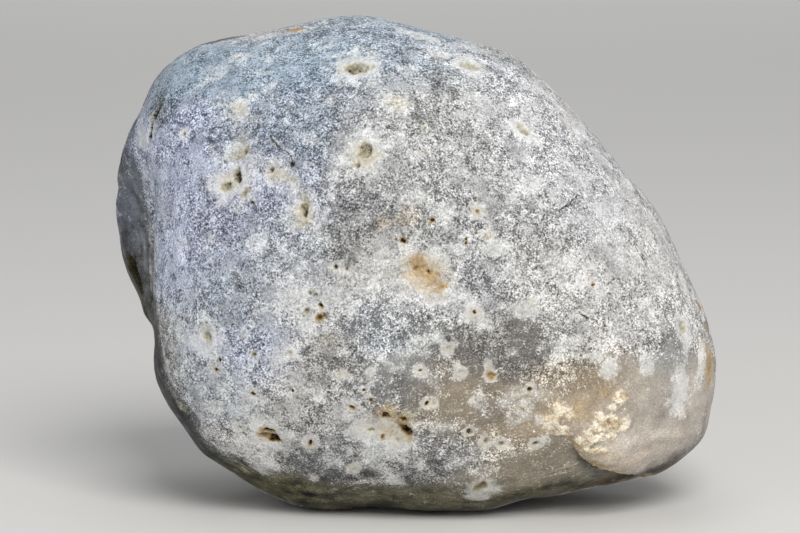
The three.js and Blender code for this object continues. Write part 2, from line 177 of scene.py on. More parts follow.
# The pits. Gas and softer grains weathered out of the skin and left holes, from pinholes to 3 mm, mostly
# olive or brown inside, each in a pale chalky halo where the stone round it has whitened.
# Each row: pixel, half length, half width, turn, depth, halo reach, halo strength, and how dark it is inside.
PITS = {
    "olive": [
        # the upper left
        (357, 69, 1.75, 0.78, -4, 0.55, 3.5, 0.9, 0.44), (350.5, 67.5, 0.6, 0.25, -10, 0.3, 0.5, 0, 0.55),
        (366.5, 151.5, 1.0, 0.8, 65, 0.55, 3.4, 0.8, 0.36), (369, 151, 0.75, 0.25, 75, 0.2, 0.5, 0, 0.5),
        (358, 165.5, 0.36, 0.32, 0, 0.3, 1.8, 0.6, 0.5), (239, 152, 1.5, 1.1, 40, 0.12, 2.8, 0.7, 0.09),
        (245, 151, 0.85, 0.3, 60, 0.25, 0.5, 0, 0.5), (238, 175.5, 1.0, 0.42, 82, 0.6, 2.6, 0.85, 0.72),
        (239, 179.5, 0.35, 0.28, 80, 0.3, 0.5, 0, 1), (227, 187, 0.7, 0.5, 40, 0.4, 2.4, 0.85, 0.5),
        (229.5, 184.5, 0.3, 0.2, 20, 0.3, 0.5, 0, 0.6), (245.5, 192, 0.34, 0.26, 70, 0.3, 1.7, 0.7, 0.55),
        (240, 108, 0.8, 0.6, 60, 0.1, 2.3, 0.7, 0.06), (240, 57, 0.3, 0.2, 0, 0.1, 1.7, 0.5, 0.4),
        (272, 170, 0.46, 0.34, 45, 0.35, 2.0, 0.65, 0.65), (292, 180, 0.6, 0.5, 0, 0.12, 1.7, 0.6, 0.14),
        (304.5, 209, 1.15, 0.62, 80, 0.5, 2.3, 0.75, 0.4), (305.5, 214, 0.4, 0.3, 80, 0.45, 0.6, 0, 0.95),
        (184, 134, 0.26, 0.18, 70, 0.25, 1.0, 0.5, 0.75),
        # the upper right
        (470, 67, 1.3, 0.5, -10, 0.3, 2.5, 0.95, 0.22), (521, 129, 1.1, 0.45, -35, 0.35, 2.3, 0.75, 0.14),
        (526, 132, 0.4, 0.25, -30, 0.25, 0.6, 0, 0.36), (425, 128, 0.25, 0.2, 40, 0.1, 0.8, 0.4, 0.4),
        (573, 130, 0.7, 0.3, -50, 0.2, 1.7, 0.5, 0.12),
        # the centre and the left
        (335.7, 267, 0.26, 0.2, 70, 0.3, 0.9, 0.6, 0.85), (347, 268.3, 0.24, 0.18, 60, 0.3, 0.9, 0.6, 0.85),
        (206, 322.5, 0.22, 0.18, 0, 0.2, 1.7, 0.6, 0.6), (306.6, 311, 0.38, 0.3, 0, 0.25, 1.2, 0.5, 0.5),
        (310, 293, 0.22, 0.18, 0, 0.2, 0.7, 0.3, 0.6), (316, 294.4, 0.2, 0.17, 0, 0.2, 0.7, 0.3, 0.9),
        (207.5, 336, 0.6, 0.42, -50, 0.35, 2.6, 0.8, 0.4), (254, 354.5, 0.3, 0.26, 0, 0.3, 1.1, 0.5, 0.7),
        (219.8, 360, 0.3, 0.18, 60, 0.2, 0.5, 0, 0.8), (290, 353, 0.36, 0.28, 0, 0.12, 1.1, 0.5, 0.3),
        (204, 426, 0.5, 0.12, 70, 0.2, 0.5, 0, 0.6), (240, 427, 0.2, 0.16, 0, 0.2, 0.9, 0.7, 0.6),
        # the bottom
        (448.4, 348.6, 0.36, 0.3, 0, 0.2, 0.94, 1, 0.17),
        (460.5, 372.5, 0.4, 0.3, 0, 0.15, 1.0, 0.85, 0.14), (488.5, 365, 0.6, 0.4, 90, 0.05, 0.6, 0.95, 0),
        (354.5, 469, 0.26, 0.22, 0, 0.15, 0.9, 0.95, 0.2), (517, 392, 0.5, 0.35, 20, 0.2, 1.0, 0.6, 0.16),
        (477, 401.5, 0.2, 0.16, 0, 0.1, 1.0, 0.6, 0.16), (485.4, 441.6, 0.42, 0.26, 75, 0.4, 0.96, 1, 0.42),
        (501.2, 443.6, 0.36, 0.32, -30, 0.35, 0.95, 1, 0.32),
        (535.5, 443.4, 0.32, 0.24, 0, 0.4, 1.0, 1, 0.36), (236, 460, 1.0, 0.35, -25, 0.5, 1.4, 0, 0.7),
        (314.7, 477.5, 0.25, 0.2, 0, 0.06, 0.75, 0.6, 0.05),
        (468.4, 431.2, 0.34, 0.24, 70, 0.35, 0.75, 0.95, 0.8),
        (483.5, 486, 0.8, 0.65, 75, 0.55, 2.6, 1, 0.5), (477, 490, 0.6, 0.5, 70, 0.35, 0.6, 0, 0.36),
        (486, 478.5, 0.15, 0.12, 0, 0.2, 0.5, 0, 0.8), (593.5, 445.5, 0.5, 0.4, 60, 0.25, 0.6, 0, 0.3),
        (371, 430, 0.36, 0.3, 0, 0.2, 0.8, 0.3, 0.3), (397.5, 440, 0.4, 0.3, 0, 0.25, 0.8, 0.3, 0.26),
        (692, 420, 0.4, 0.08, 75, 0.1, 0.4, 0, 0.3),
    ],
    "ochre": [
        # the centre and the left
        (320.9, 305.5, 0.38, 0.24, -50, 0.4, 1.8, 0.5, 0.7), (324, 315, 0.3, 0.2, -50, 0.3, 0.6, 0, 0.5),
        (319, 317, 0.45, 0.36, 20, 0.45, 1.7, 0.5, 0.5), (403, 240.5, 0.32, 0.24, -40, 0.4, 1.2, 0.4, 0.8),
        (396, 239, 0.22, 0.18, 0, 0.2, 0.6, 0, 0.7), (432.5, 220, 0.28, 0.22, 60, 0.35, 0.8, 0.1, 0.95),
        (466, 239, 0.24, 0.16, 80, 0.3, 1.0, 0.3, 0.95), (466, 243, 0.22, 0.16, 80, 0.3, 0.5, 0, 0.85),
        (428.7, 271.5, 0.4, 0.22, -50, 0.3, 0.6, 0, 0.8), (416, 268, 0.4, 0.2, 40, 0.25, 0.6, 0, 0.6),
        (443, 287, 0.4, 0.25, 0, 0.1, 0.6, 0, 0.3), (424, 272, 2.1, 1.5, -25, 0.12, 4.4, 0.8, 0.04),
        (477.5, 211, 0.26, 0.22, 0, 0.3, 1.3, 0.7, 0.34), (593, 285, 0.17, 0.14, 0, 0.25, 1.8, 0.5, 0.5),
        (474.5, 312, 0.25, 0.2, -50, 0.4, 1.3, 0.8, 1), (216.5, 369.5, 0.22, 0.2, 0, 0.3, 1.1, 0.7, 0.95),
        (252.7, 393.5, 0.24, 0.2, 0, 0.35, 1.1, 0.6, 1), (292.7, 390, 0.26, 0.12, 80, 0.2, 0.6, 0.2, 0.95),
        # the bottom
        (420, 370.5, 0.17, 0.15, 0, 0.25, 0.95, 0.8, 1),
        (490.7, 375.8, 0.38, 0.3, -40, 0.4, 0.9, 0.95, 0.36),
        (269, 430, 0.6, 0.28, -20, 0.45, 2.8, 0.85, 1), (276, 438, 0.95, 0.4, -15, 0.6, 2.9, 0.9, 1),
        (265, 435, 0.75, 0.45, -20, 0.4, 2.4, 0.9, 0.5), (271.5, 439.5, 0.4, 0.25, -10, 0.5, 0.6, 0, 0.9),
        (310.5, 442.8, 0.4, 0.17, 75, 0.4, 1.3, 0.7, 0.85),
        (352, 407.7, 0.34, 0.17, -30, 0.35, 1.2, 0.6, 0.9),
        (370.7, 400.3, 0.26, 0.2, 0, 0.3, 1.0, 0.3, 0.8), (364, 390, 0.2, 0.14, 0, 0.2, 0.7, 0.5, 0.8),
        (385.6, 415.5, 0.52, 0.42, 50, 0.45, 1.4, 0.4, 0.95),
        (407, 431, 0.95, 0.62, -48, 0.7, 2.4, 0.6, 0.88), (402.5, 427.5, 0.4, 0.25, -20, 0.5, 0.6, 0, 0.6),
        (402.7, 419.5, 0.44, 0.32, -40, 0.4, 0.8, 0, 0.8),
        (382.5, 437, 0.36, 0.18, 75, 0.25, 0.8, 0.3, 0.5), (426.3, 403.5, 0.3, 0.2, 60, 0.35, 0.8, 0.9, 1),
        (433.7, 403.5, 0.45, 0.4, 0, 0.12, 0.8, 0.8, 0.1), (529.8, 389, 0.24, 0.2, 0, 0.35, 0.95, 0.7, 1),
        (524, 408.5, 0.2, 0.17, 0, 0.3, 1.7, 0.75, 1), (605, 326, 0.2, 0.16, 0, 0.15, 0.6, 0, 0.7),
        (682.7, 327, 0.9, 0.5, 80, 0.3, 2.4, 0.8, 0.16),
    ],
    "grey": [
        # the edge of the left hollow and the small black marks near it
        (156.3, 112, 1.0, 0.62, 80, 0.6, 0.8, 0, 0.9), (151, 130.5, 1.1, 0.4, 78, 0.7, 1.7, 0.8, 1),
        (150.7, 114, 0.4, 0.2, 70, 0.3, 0.5, 0, 0.4), (162, 122, 0.22, 0.18, 70, 0.15, 0.5, 0, 0.8),
        (292.3, 164.4, 0.45, 0.33, 70, 0.35, 0.5, 0, 0.95), (213.4, 200.4, 0.18, 0.14, 0, 0.1, 0.5, 0, 0.9),
        (253.4, 203, 0.22, 0.09, -60, 0.1, 0.5, 0, 0.9), (230, 203.5, 0.5, 0.09, 60, 0.1, 0.5, 0, 0.7),
        (156, 231, 0.5, 0.3, -60, 0.2, 0.7, 0.6, 0.4), (120.5, 177, 0.9, 0.4, 80, 0.25, 0.5, 0, 0.4),
        (118.5, 187, 0.8, 0.4, 10, 0.6, 0.5, 0, 0.15),
    ],
    "moss": [
        # the wet-looking dark ones on the hollow's outer rim
        (133, 269, 1.3, 1.4, -55, 0.5, 0.5, 0, 0.75), (139, 284, 1.5, 1.2, -75, 0.4, 0.5, 0, 0.6),
        (145.3, 311, 0.6, 0.5, -75, 0.35, 0.5, 0, 0.6),
    ],
}

# The chalky patches with no pit.
# Each row: pixel, half length, half width, turn and strength.
PATCHES = [
    (358, 66, 3.4, 2.2, 0, 0.55), (243, 170, 3.8, 3.4, 60, 0.55), (280, 176, 2.8, 2.2, 0, 0.5),
    (304, 205, 2.6, 3.0, 0, 0.5), (364, 160, 3.6, 3.4, 60, 0.5), (396, 102, 2.2, 1.6, 0, 0.45),
    (240, 57, 2.4, 1.2, 15, 0.4), (218, 68, 2.0, 1.0, 10, 0.45), (482, 98, 1.8, 1.3, 0, 0.5),
    (422, 153, 1.3, 1.2, 0, 0.45), (419, 196, 1.8, 1.5, 0, 0.5), (529.6, 186, 1.9, 1.4, 20, 0.6),
    (445, 212, 1.8, 1.5, 0, 0.45), (257, 243, 1.9, 1.7, 0, 0.5), (182, 242, 1.4, 1.1, 0, 0.4),
    (200, 346, 2.4, 1.3, -25, 0.8), (245, 331, 1.2, 0.7, 0, 0.5), (487, 236, 1.7, 1.3, 0, 0.5),
    (532, 303, 2.0, 1.4, 0, 0.5), (593.7, 244, 1.5, 1.3, 0, 0.45), (606, 235, 1.3, 1.1, 0, 0.4),
    (574, 262, 3.0, 2.0, 20, 0.45), (583, 280, 2.4, 1.9, 0, 0.45), (648, 309, 1.7, 1.4, 80, 0.55),
    (647, 368, 1.2, 1.3, 60, 1.0), (609, 367, 1.5, 1.2, 60, 1.0), (602, 338, 2.2, 1.8, 70, 0.4),
    (566, 343, 2.0, 1.2, 0, 0.6), (680, 391, 3.3, 1.9, 85, 1.0), (702, 362, 2.6, 1.2, 85, 1.0),
    (686, 343, 1.6, 1.0, 80, 0.9), (552, 362, 1.6, 1.2, 0, 0.35), (438, 428, 2.0, 1.4, 0, 0.45),
    (698, 380, 1.8, 1.6, 85, 0.6), (597, 356, 2.0, 0.9, 0, 0.75), (345, 341, 1.5, 1.2, 0, 0.5),
    (685, 318, 2.4, 1.2, 80, 0.5), (395, 481, 1.4, 1.1, 0, 1.0), (677, 370, 0.9, 0.6, 80, 0.7),
    (440, 296, 2.6, 1.3, 0, 0.75), (292, 300, 2.6, 2.4, 0, 0.45), (700, 396, 0.7, 0.4, 80, 0.5),
    (245, 470, 1.0, 0.6, -30, 0.3), (540, 420, 1.0, 0.8, 0, 0.5), (354, 466, 1.2, 1.0, 80, 0.7),
    (420.6, 467.6, 0.8, 0.8, 0, 0.85), (479.5, 399.6, 1.5, 1.3, 0, 0.5), (479.5, 471, 1.6, 1.3, 60, 0.4),
    (514, 453, 1.1, 0.8, 0, 0.4), (343, 375, 1.5, 1.0, 0, 0.8), (371, 371, 1.1, 0.8, 0, 0.8),
    (319, 394, 1.2, 1.0, 0, 0.6), (490, 363, 1.0, 1.2, 0, 0.5), (268, 462, 1.8, 2.2, 70, 0.55),
    (240, 437, 1.2, 1.3, 0, 0.5), (380, 447, 4.4, 1.8, -5, 0.55), (364, 431, 2.4, 1.9, 0, 1.0),
    (394, 440, 2.8, 1.5, -15, 1.0), (386, 428, 2.6, 1.8, -15, 0.95), (410, 290, 3.5, 1.6, 15, 0.45),
    (372, 262, 2.6, 1.4, 0, 0.4), (330, 338, 1.2, 2.0, 0, 0.4), (300, 325, 2.2, 1.6, 0, 0.35),
    (540, 395, 1.8, 1.4, 0, 0.4), (467, 318, 1.1, 1.2, 0, 0.4), (375, 283, 4.5, 1.6, 5, 0.5),
    (355, 262, 2.4, 1.6, 0, 0.45), (405, 24, 3.2, 1.0, -14, 0.7), (530, 136, 2.4, 1.2, -42, 0.7),
    (332, 462, 1.3, 1.6, 0, 0.5), (375, 466, 2.2, 1.2, -20, 0.5), (455, 462, 2.0, 1.4, 20, 0.45),
    (690, 250, 2.6, 1.0, -65, 0.5), (478, 497, 2.0, 1.4, 10, 0.9), (516, 312, 2.2, 1.4, 0, 0.6),
    (416, 348, 1.8, 1.3, 0, 0.55), (493, 249, 1.8, 1.3, 0, 0.8), (392, 364, 2.4, 1.2, 0, 0.5),
    (515, 419, 1.5, 1.2, 0, 0.5), (277, 358, 1.6, 1.4, 0, 0.7), (534, 312, 1.6, 1.2, 0, 0.5),
    (163, 349, 1.0, 0.4, -70, 0.6), (326, 187, 1.3, 1.0, 0, 0.5), (386, 431, 5.2, 3.0, -5, 0.72),
    (270, 438, 2.2, 1.9, 0, 0.85), (418, 35, 3.0, 1.8, -15, 0.7), (440, 56, 2.2, 1.2, -20, 0.6),
    (402, 118, 1.8, 1.6, 0, 0.5), (141, 134, 2.0, 1.8, 80, 0.8), (510, 272, 1.5, 1.1, 0, 0.5),
    (395, 288, 2.0, 1.2, 0, 0.6), (615, 327, 1.8, 1.2, 0, 0.6), (596, 180, 1.6, 1.4, 0, 0.5),
    (305, 351, 1.5, 1.2, 0, 0.35), (176, 325, 1.6, 1.6, 0, 0.5), (255, 369, 1.4, 1.2, 0, 0.4),
    (262, 469, 1.8, 1.2, 0, 0.6), (252, 438, 1.4, 1.4, 0, 0.6), (283, 385, 1.3, 1.1, 0, 0.5),
    (212, 408, 1.6, 1.1, 0, 0.7), (176, 331, 0.9, 0.7, 0, 0.7), (546, 441, 1.0, 0.6, 0, 0.4),
    (216, 147, 1.4, 1.2, 0, 0.35), (275, 251, 1.3, 1.2, 0, 0.4), (476, 457, 1.4, 1.0, 0, 0.45),
    (352, 441, 1.2, 1.4, 0, 0.5), (367, 84, 1.4, 1.0, 0, 0.5), (598, 295, 1.8, 1.1, 0, 0.6),
    (589, 268, 1.4, 1.2, 0, 0.7), (571, 298, 1.2, 1.1, 0, 0.5), (556, 105, 1.8, 1.4, -50, 0.6),
    (468, 290, 1.2, 1.0, 0, 0.4), (523, 280, 1.4, 1.0, 0, 0.5), (549, 343, 1.2, 1.4, 0, 0.4),
    (189, 379, 1.2, 1.4, 0, 0.35), (464, 253, 1.4, 1.1, 0, 0.5), (646, 360, 1.4, 0.9, 0, 0.6),
    (544, 209, 1.6, 1.2, 0, 0.45), (649, 236, 1.6, 1.4, -60, 0.7), (362, 48, 1.8, 0.9, 0, 0.5),
    (224, 103, 1.6, 1.2, 0, 0.5), (563, 278, 1.4, 1.2, 0, 0.6), (557, 320, 1.4, 1.1, 0, 0.5),
    (213, 77, 2.0, 1.2, 20, 0.5), (234, 279, 1.6, 1.3, 0, 0.35), (290, 220, 1.6, 1.4, 0, 0.5),
    (647, 322, 1.4, 1.2, 0, 0.5), (254, 116, 1.4, 1.2, 0, 0.35), (375, 117, 1.6, 1.3, 0, 0.5),
    (349, 308, 1.6, 1.4, 0, 0.5), (480, 487, 2.0, 1.7, 0, 0.95), (167, 364, 1.2, 0.5, -75, 0.6),
    (186, 341, 2.0, 0.8, -30, 0.5), (172, 381, 1.1, 0.4, -60, 0.4), (659, 326, 1.8, 1.4, 0, 0.5),
    (401, 204, 1.6, 1.3, 0, 0.45), (331, 179, 1.5, 1.3, 0, 0.45), (510, 199, 1.6, 1.3, 0, 0.45),
    (309, 322, 1.6, 1.3, 0, 0.7), (508, 256, 1.6, 1.3, 0, 0.5), (468, 344, 1.3, 1.1, 0, 0.35),
    (510, 404, 1.6, 1.3, 0, 0.5), (642, 313, 1.6, 1.3, 0, 0.5), (406, 71, 1.6, 1.4, 0, 0.5),
    (331, 99, 1.5, 1.3, 0, 0.4), (261, 73, 1.6, 1.2, 0, 0.4), (436, 338, 1.6, 1.3, 0, 0.5),
    (312, 140, 1.5, 1.3, 0, 0.4), (612, 181, 1.8, 1.2, -50, 0.5), (526, 307, 1.7, 1.3, 0, 0.8),
    (260, 310, 1.3, 1.2, 0, 0.45), (256, 327, 1.3, 1.1, 0, 0.45), (225, 390, 1.6, 1.2, 0, 0.5),
    (286, 390, 1.4, 1.1, 0, 0.45), (316, 340, 1.3, 1.1, 0, 0.45), (255, 438, 1.5, 1.2, 0, 0.8),
    (266, 447, 1.4, 1.2, 0, 0.7), (331, 440, 1.5, 1.2, 0, 0.5), (239, 160, 2.0, 1.4, 0, 0.6),
    (215, 186, 1.5, 1.8, 0, 0.5), (681, 336, 1.0, 1.0, 80, 0.6), (574, 354, 1.3, 1.0, 0, 0.4),
    (385, 120, 1.5, 1.2, 0, 0.45), (400, 139, 1.5, 1.2, 0, 0.5), (319, 49, 1.6, 1.0, 0, 0.4),
    (270, 56, 1.6, 1.0, 0, 0.4), (288, 110, 1.5, 1.2, 0, 0.4), (436, 74, 1.4, 1.1, 0, 0.35),
    (370, 377, 1.3, 1.0, 0, 0.45), (613, 232, 1.5, 1.2, 0, 0.55), (459, 116, 1.6, 1.3, 0, 0.6),
    (460, 155, 1.5, 1.2, 0, 0.45), (269, 90, 1.6, 1.2, 0, 0.45), (210, 238, 1.4, 1.2, 0, 0.4),
    (256, 437, 1.3, 1.0, 0, 0.95), (380, 454, 3.5, 1.3, 0, 0.6), (246, 338, 1.5, 1.2, 0, 0.4),
    (363, 223, 1.5, 1.2, 0, 0.3), (317, 234, 1.5, 1.3, 0, 0.45), (162, 209, 2.6, 1.0, 88, 0.4),
    (636, 284, 1.5, 1.2, 0, 0.45), (235, 282, 1.4, 1.2, 0, 0.35), (417, 155, 1.5, 1.3, 0, 0.5),
    (492, 165, 1.5, 1.3, 0, 0.45), (254, 120, 1.5, 1.2, 0, 0.4), (508, 349, 1.3, 1.1, 0, 0.25),
    (142, 137, 1.9, 2.6, 80, 0.9), (562, 380, 1.6, 1.0, 0, 0.3), (336, 316, 1.6, 1.3, 0, 0.45),
    (486, 323, 1.5, 1.2, 0, 0.45), (264, 403, 1.5, 1.2, 0, 0.45), (403, 354, 1.6, 1.2, 0, 0.5),
    (236, 207, 1.5, 1.2, 0, 0.45), (433, 381, 1.5, 1.2, 0, 0.3), (474, 430, 1.2, 1.0, 0, 0.3),
    (655, 222, 3.0, 0.9, -60, 0.5), (625, 178, 2.6, 0.9, -55, 0.5), (700, 300, 2.2, 0.8, -75, 0.5),
]

# The worn places, where less frost is left and the darker stone shows through. The rows along the left rim,
# on the hollow's outer rim, along the lower right rim and just under the ledge are painted shade instead,
# which darkens those parts where they turn away from the light.
# Each row: pixel, half length, half width, turn and how much darker.
WORN_AND_SHADED = [
    (409, 469, 1.6, 1.0, 0, 0.45), (369, 473, 1.8, 0.9, -10, 0.5), (435, 466, 1.6, 1.4, 20, 0.45),
    (343, 478, 1.8, 0.8, 0, 0.45), (241, 461, 2.0, 1.1, -25, 0.8), (485, 303, 1.5, 1.0, 0, 0.3),
    (336, 202, 1.2, 1.2, 0, 0.35), (323, 377, 1.6, 1.6, 0, 0.3), (348, 258, 2.0, 1.4, 0, 0.3),
    (217, 122, 1.6, 1.2, 0, 0.25), (492, 69, 1.6, 0.8, -20, 0.45), (383, 219, 2.0, 1.4, 0, 0.3),
    (283, 145, 2.0, 1.4, -40, 0.25), (429, 121, 1.2, 1.2, 0, 0.25), (422, 238, 2.0, 0.9, -10, 0.25),
    (466, 207, 1.4, 1.0, 0, 0.25), (384, 172, 1.4, 1.2, 0, 0.25), (154, 362, 4.0, 4.2, -88, 0.55),
    (160, 385, 2.0, 4.0, -68, 0.35), (169, 406, 2.0, 4.0, -60, 0.35), (178, 419, 1.8, 3.4, -50, 0.3),
    (190, 433, 1.8, 3.0, -50, 0.4), (206, 449, 1.6, 1.2, -45, 0.3), (219, 459, 1.4, 0.7, -30, 0.5),
    (438, 78, 3.0, 1.2, 80, 0.35), (403, 54, 1.0, 1.0, 0, 0.3), (645, 474, 3.6, 2.6, 5, 0.85),
    (611, 467, 2.4, 0.9, -15, 0.35), (313, 212, 1.1, 1.4, 0, 0.25), (304, 194, 1.2, 1.0, 0, 0.3),
    (462, 236, 1.2, 1.0, 0, 0.25), (243, 155, 1.2, 1.1, 0, 0.25), (532, 405, 1.4, 1.0, 0, 0.2),
    (303, 254, 1.3, 1.1, 0, 0.25), (335, 232, 1.4, 1.1, 0, 0.25), (350, 458, 1.5, 1.1, 0, 0.35),
    (557, 355, 1.2, 0.9, 0, 0.25), (318, 296, 1.2, 1.0, 0, 0.25), (399, 388, 1.4, 1.0, 0, 0.3),
    (433, 165, 1.3, 1.1, 0, 0.25), (499, 315, 1.3, 1.1, 0, 0.25), (501, 367, 1.3, 1.0, 0, 0.2),
    (283, 163, 1.1, 0.9, 0, 0.25), (628, 428, 1.2, 1.0, 0, 0.15), (494, 441, 0.7, 0.7, 0, 0.3),
    (594, 464, 2.0, 1.0, -35, 0.45), (706, 412, 2.0, 1.2, 85, 0.25), (496, 97, 1.3, 1.0, 0, 0.25),
    (237, 132, 1.4, 1.1, 0, 0.25), (366, 66, 1.0, 0.8, 0, 0.3), (674, 461, 2.6, 2.6, 28, 0.5),
    (134, 282, 2.8, 4.0, -62, 0.95), (145, 308, 2.4, 4.0, -75, 0.85), (128, 262, 1.8, 3.5, -75, 0.6),
    (181, 411, 1.8, 2.8, -50, 0.5), (196, 398, 1.3, 1.0, -45, 0.35), (239, 153, 1.3, 1.0, 30, 0.2),
    (614, 268, 1.5, 1.2, 0, 0.3), (476, 80, 1.6, 1.1, -20, 0.3), (284, 457, 2.0, 1.1, 0, 0.45),
    (290, 443, 1.5, 1.3, 0, 0.35), (497, 306, 1.4, 1.1, 0, 0.3), (599, 252, 1.3, 1.2, 0, 0.3),
    (439, 113, 1.4, 1.2, 0, 0.25), (634, 344, 1.6, 1.1, 0, 0.3), (344, 478, 1.8, 0.7, 0, 0.4),
    (317, 478, 1.6, 0.7, 0, 0.35), (383, 146, 1.4, 1.2, 0, 0.25), (201, 138, 1.6, 1.3, 0, 0.3),
    (501, 127, 1.4, 1.1, 0, 0.3), (360, 276, 1.6, 1.1, 0, 0.25), (575, 326, 1.4, 1.1, 0, 0.3),
    (590, 332, 1.3, 1.1, 0, 0.25), (613, 284, 1.3, 1.1, 0, 0.25), (218, 443, 1.5, 1.0, -30, 0.3),
    (324, 353, 1.5, 1.2, 0, 0.25), (228, 374, 1.3, 1.1, 0, 0.15), (255, 344, 1.3, 1.2, 0, 0.3),
    (411, 475, 1.8, 1.0, 0, 0.4), (539, 369, 1.3, 1.0, 0, 0.3), (226, 39, 2.8, 1.2, 20, 0.8),
    (346, 121, 1.5, 1.2, 0, 0.25), (217, 308, 1.4, 1.1, 0, 0.25), (388, 79, 1.4, 1.1, 0, 0.25),
    (410, 99, 1.3, 1.0, 0, 0.25), (278, 224, 1.4, 1.1, 0, 0.25), (482, 208, 1.3, 1.1, 0, 0.25),
    (193, 277, 1.4, 1.1, 0, 0.25), (466, 52, 1.5, 0.9, -20, 0.3), (271, 316, 1.3, 1.1, 0, 0.2),
    (348, 261, 1.4, 1.1, 0, 0.25), (409, 480, 1.6, 1.0, 0, 0.3), (437, 462, 1.4, 1.1, 0, 0.3),
    (479, 264, 1.3, 1.1, 0, 0.25), (445, 230, 1.3, 1.1, 0, 0.25), (205, 211, 1.4, 1.1, 0, 0.25),
    (433, 126, 1.3, 1.1, 0, 0.25), (370, 474, 1.6, 0.9, 0, 0.3), (702, 431, 2.0, 1.3, 70, 0.2),
    (629, 424, 1.2, 1.0, 0, 0.15), (255, 148, 1.3, 1.2, 0, 0.3), (121, 160, 1.7, 3.0, 85, 0.5),
    (176, 410, 2.2, 3.0, -50, 0.6), (490, 71, 1.6, 1.0, -20, 0.3), (295, 133, 1.5, 1.2, 0, 0.25),
    (235, 470, 2.0, 1.2, -25, 0.5), (547, 274, 1.4, 1.1, 0, 0.25), (193, 358, 1.4, 1.0, -30, 0.3),
    (503, 481, 1.6, 1.0, 0, 0.3), (319, 384, 1.4, 1.1, 0, 0.25), (180, 160, 1.5, 1.5, 0, 0.25),
    (250, 163, 1.1, 0.9, 0, 0.25), (246, 318, 1.2, 1.0, 0, 0.2), (204, 43, 1.6, 0.6, 30, 0.3),
    (310, 21, 3.2, 0.5, 8, 0.3), (372, 16, 3.0, 0.5, 0, 0.3), (462, 488, 1.4, 0.9, 0, 0.45),
    (308, 191, 1.0, 1.0, 0, 0.5), (432, 477, 1.4, 1.0, 0, 0.45), (421, 397, 1.4, 1.0, 0, 0.35),
    (494, 112, 1.4, 1.0, 0, 0.3), (589, 462, 1.4, 0.7, -40, 0.6), (693, 289, 1.0, 1.4, 0, 0.3),
    (589, 244, 1.2, 1.0, 0, 0.3), (364, 330, 1.4, 1.1, 0, 0.3), (279, 407, 1.4, 1.2, 0, 0.3),
    (702, 306, 0.8, 1.2, 0, 0.3), (588, 348, 1.6, 1.2, 0, 0.25), (412, 410, 1.6, 1.0, 0, 0.35),
    (332, 338, 1.8, 1.2, 0, 0.35), (339, 141, 1.6, 1.3, 0, 0.3), (225, 348, 1.4, 1.2, 0, 0.3),
    (231, 128, 1.2, 0.9, 0, 0.3), (269, 246, 0.8, 1.2, 0, 0.25), (209, 443, 1.4, 0.9, -45, 0.4),
    (398, 406, 1.4, 0.9, 0, 0.35), (518, 149, 1.4, 1.1, 0, 0.3), (250, 221, 1.2, 1.1, 0, 0.35),
    (292, 166, 1.0, 0.9, 0, 0.35), (228, 324, 1.5, 1.2, 0, 0.35), (418, 460, 1.2, 1.0, 0, 0.35),
]

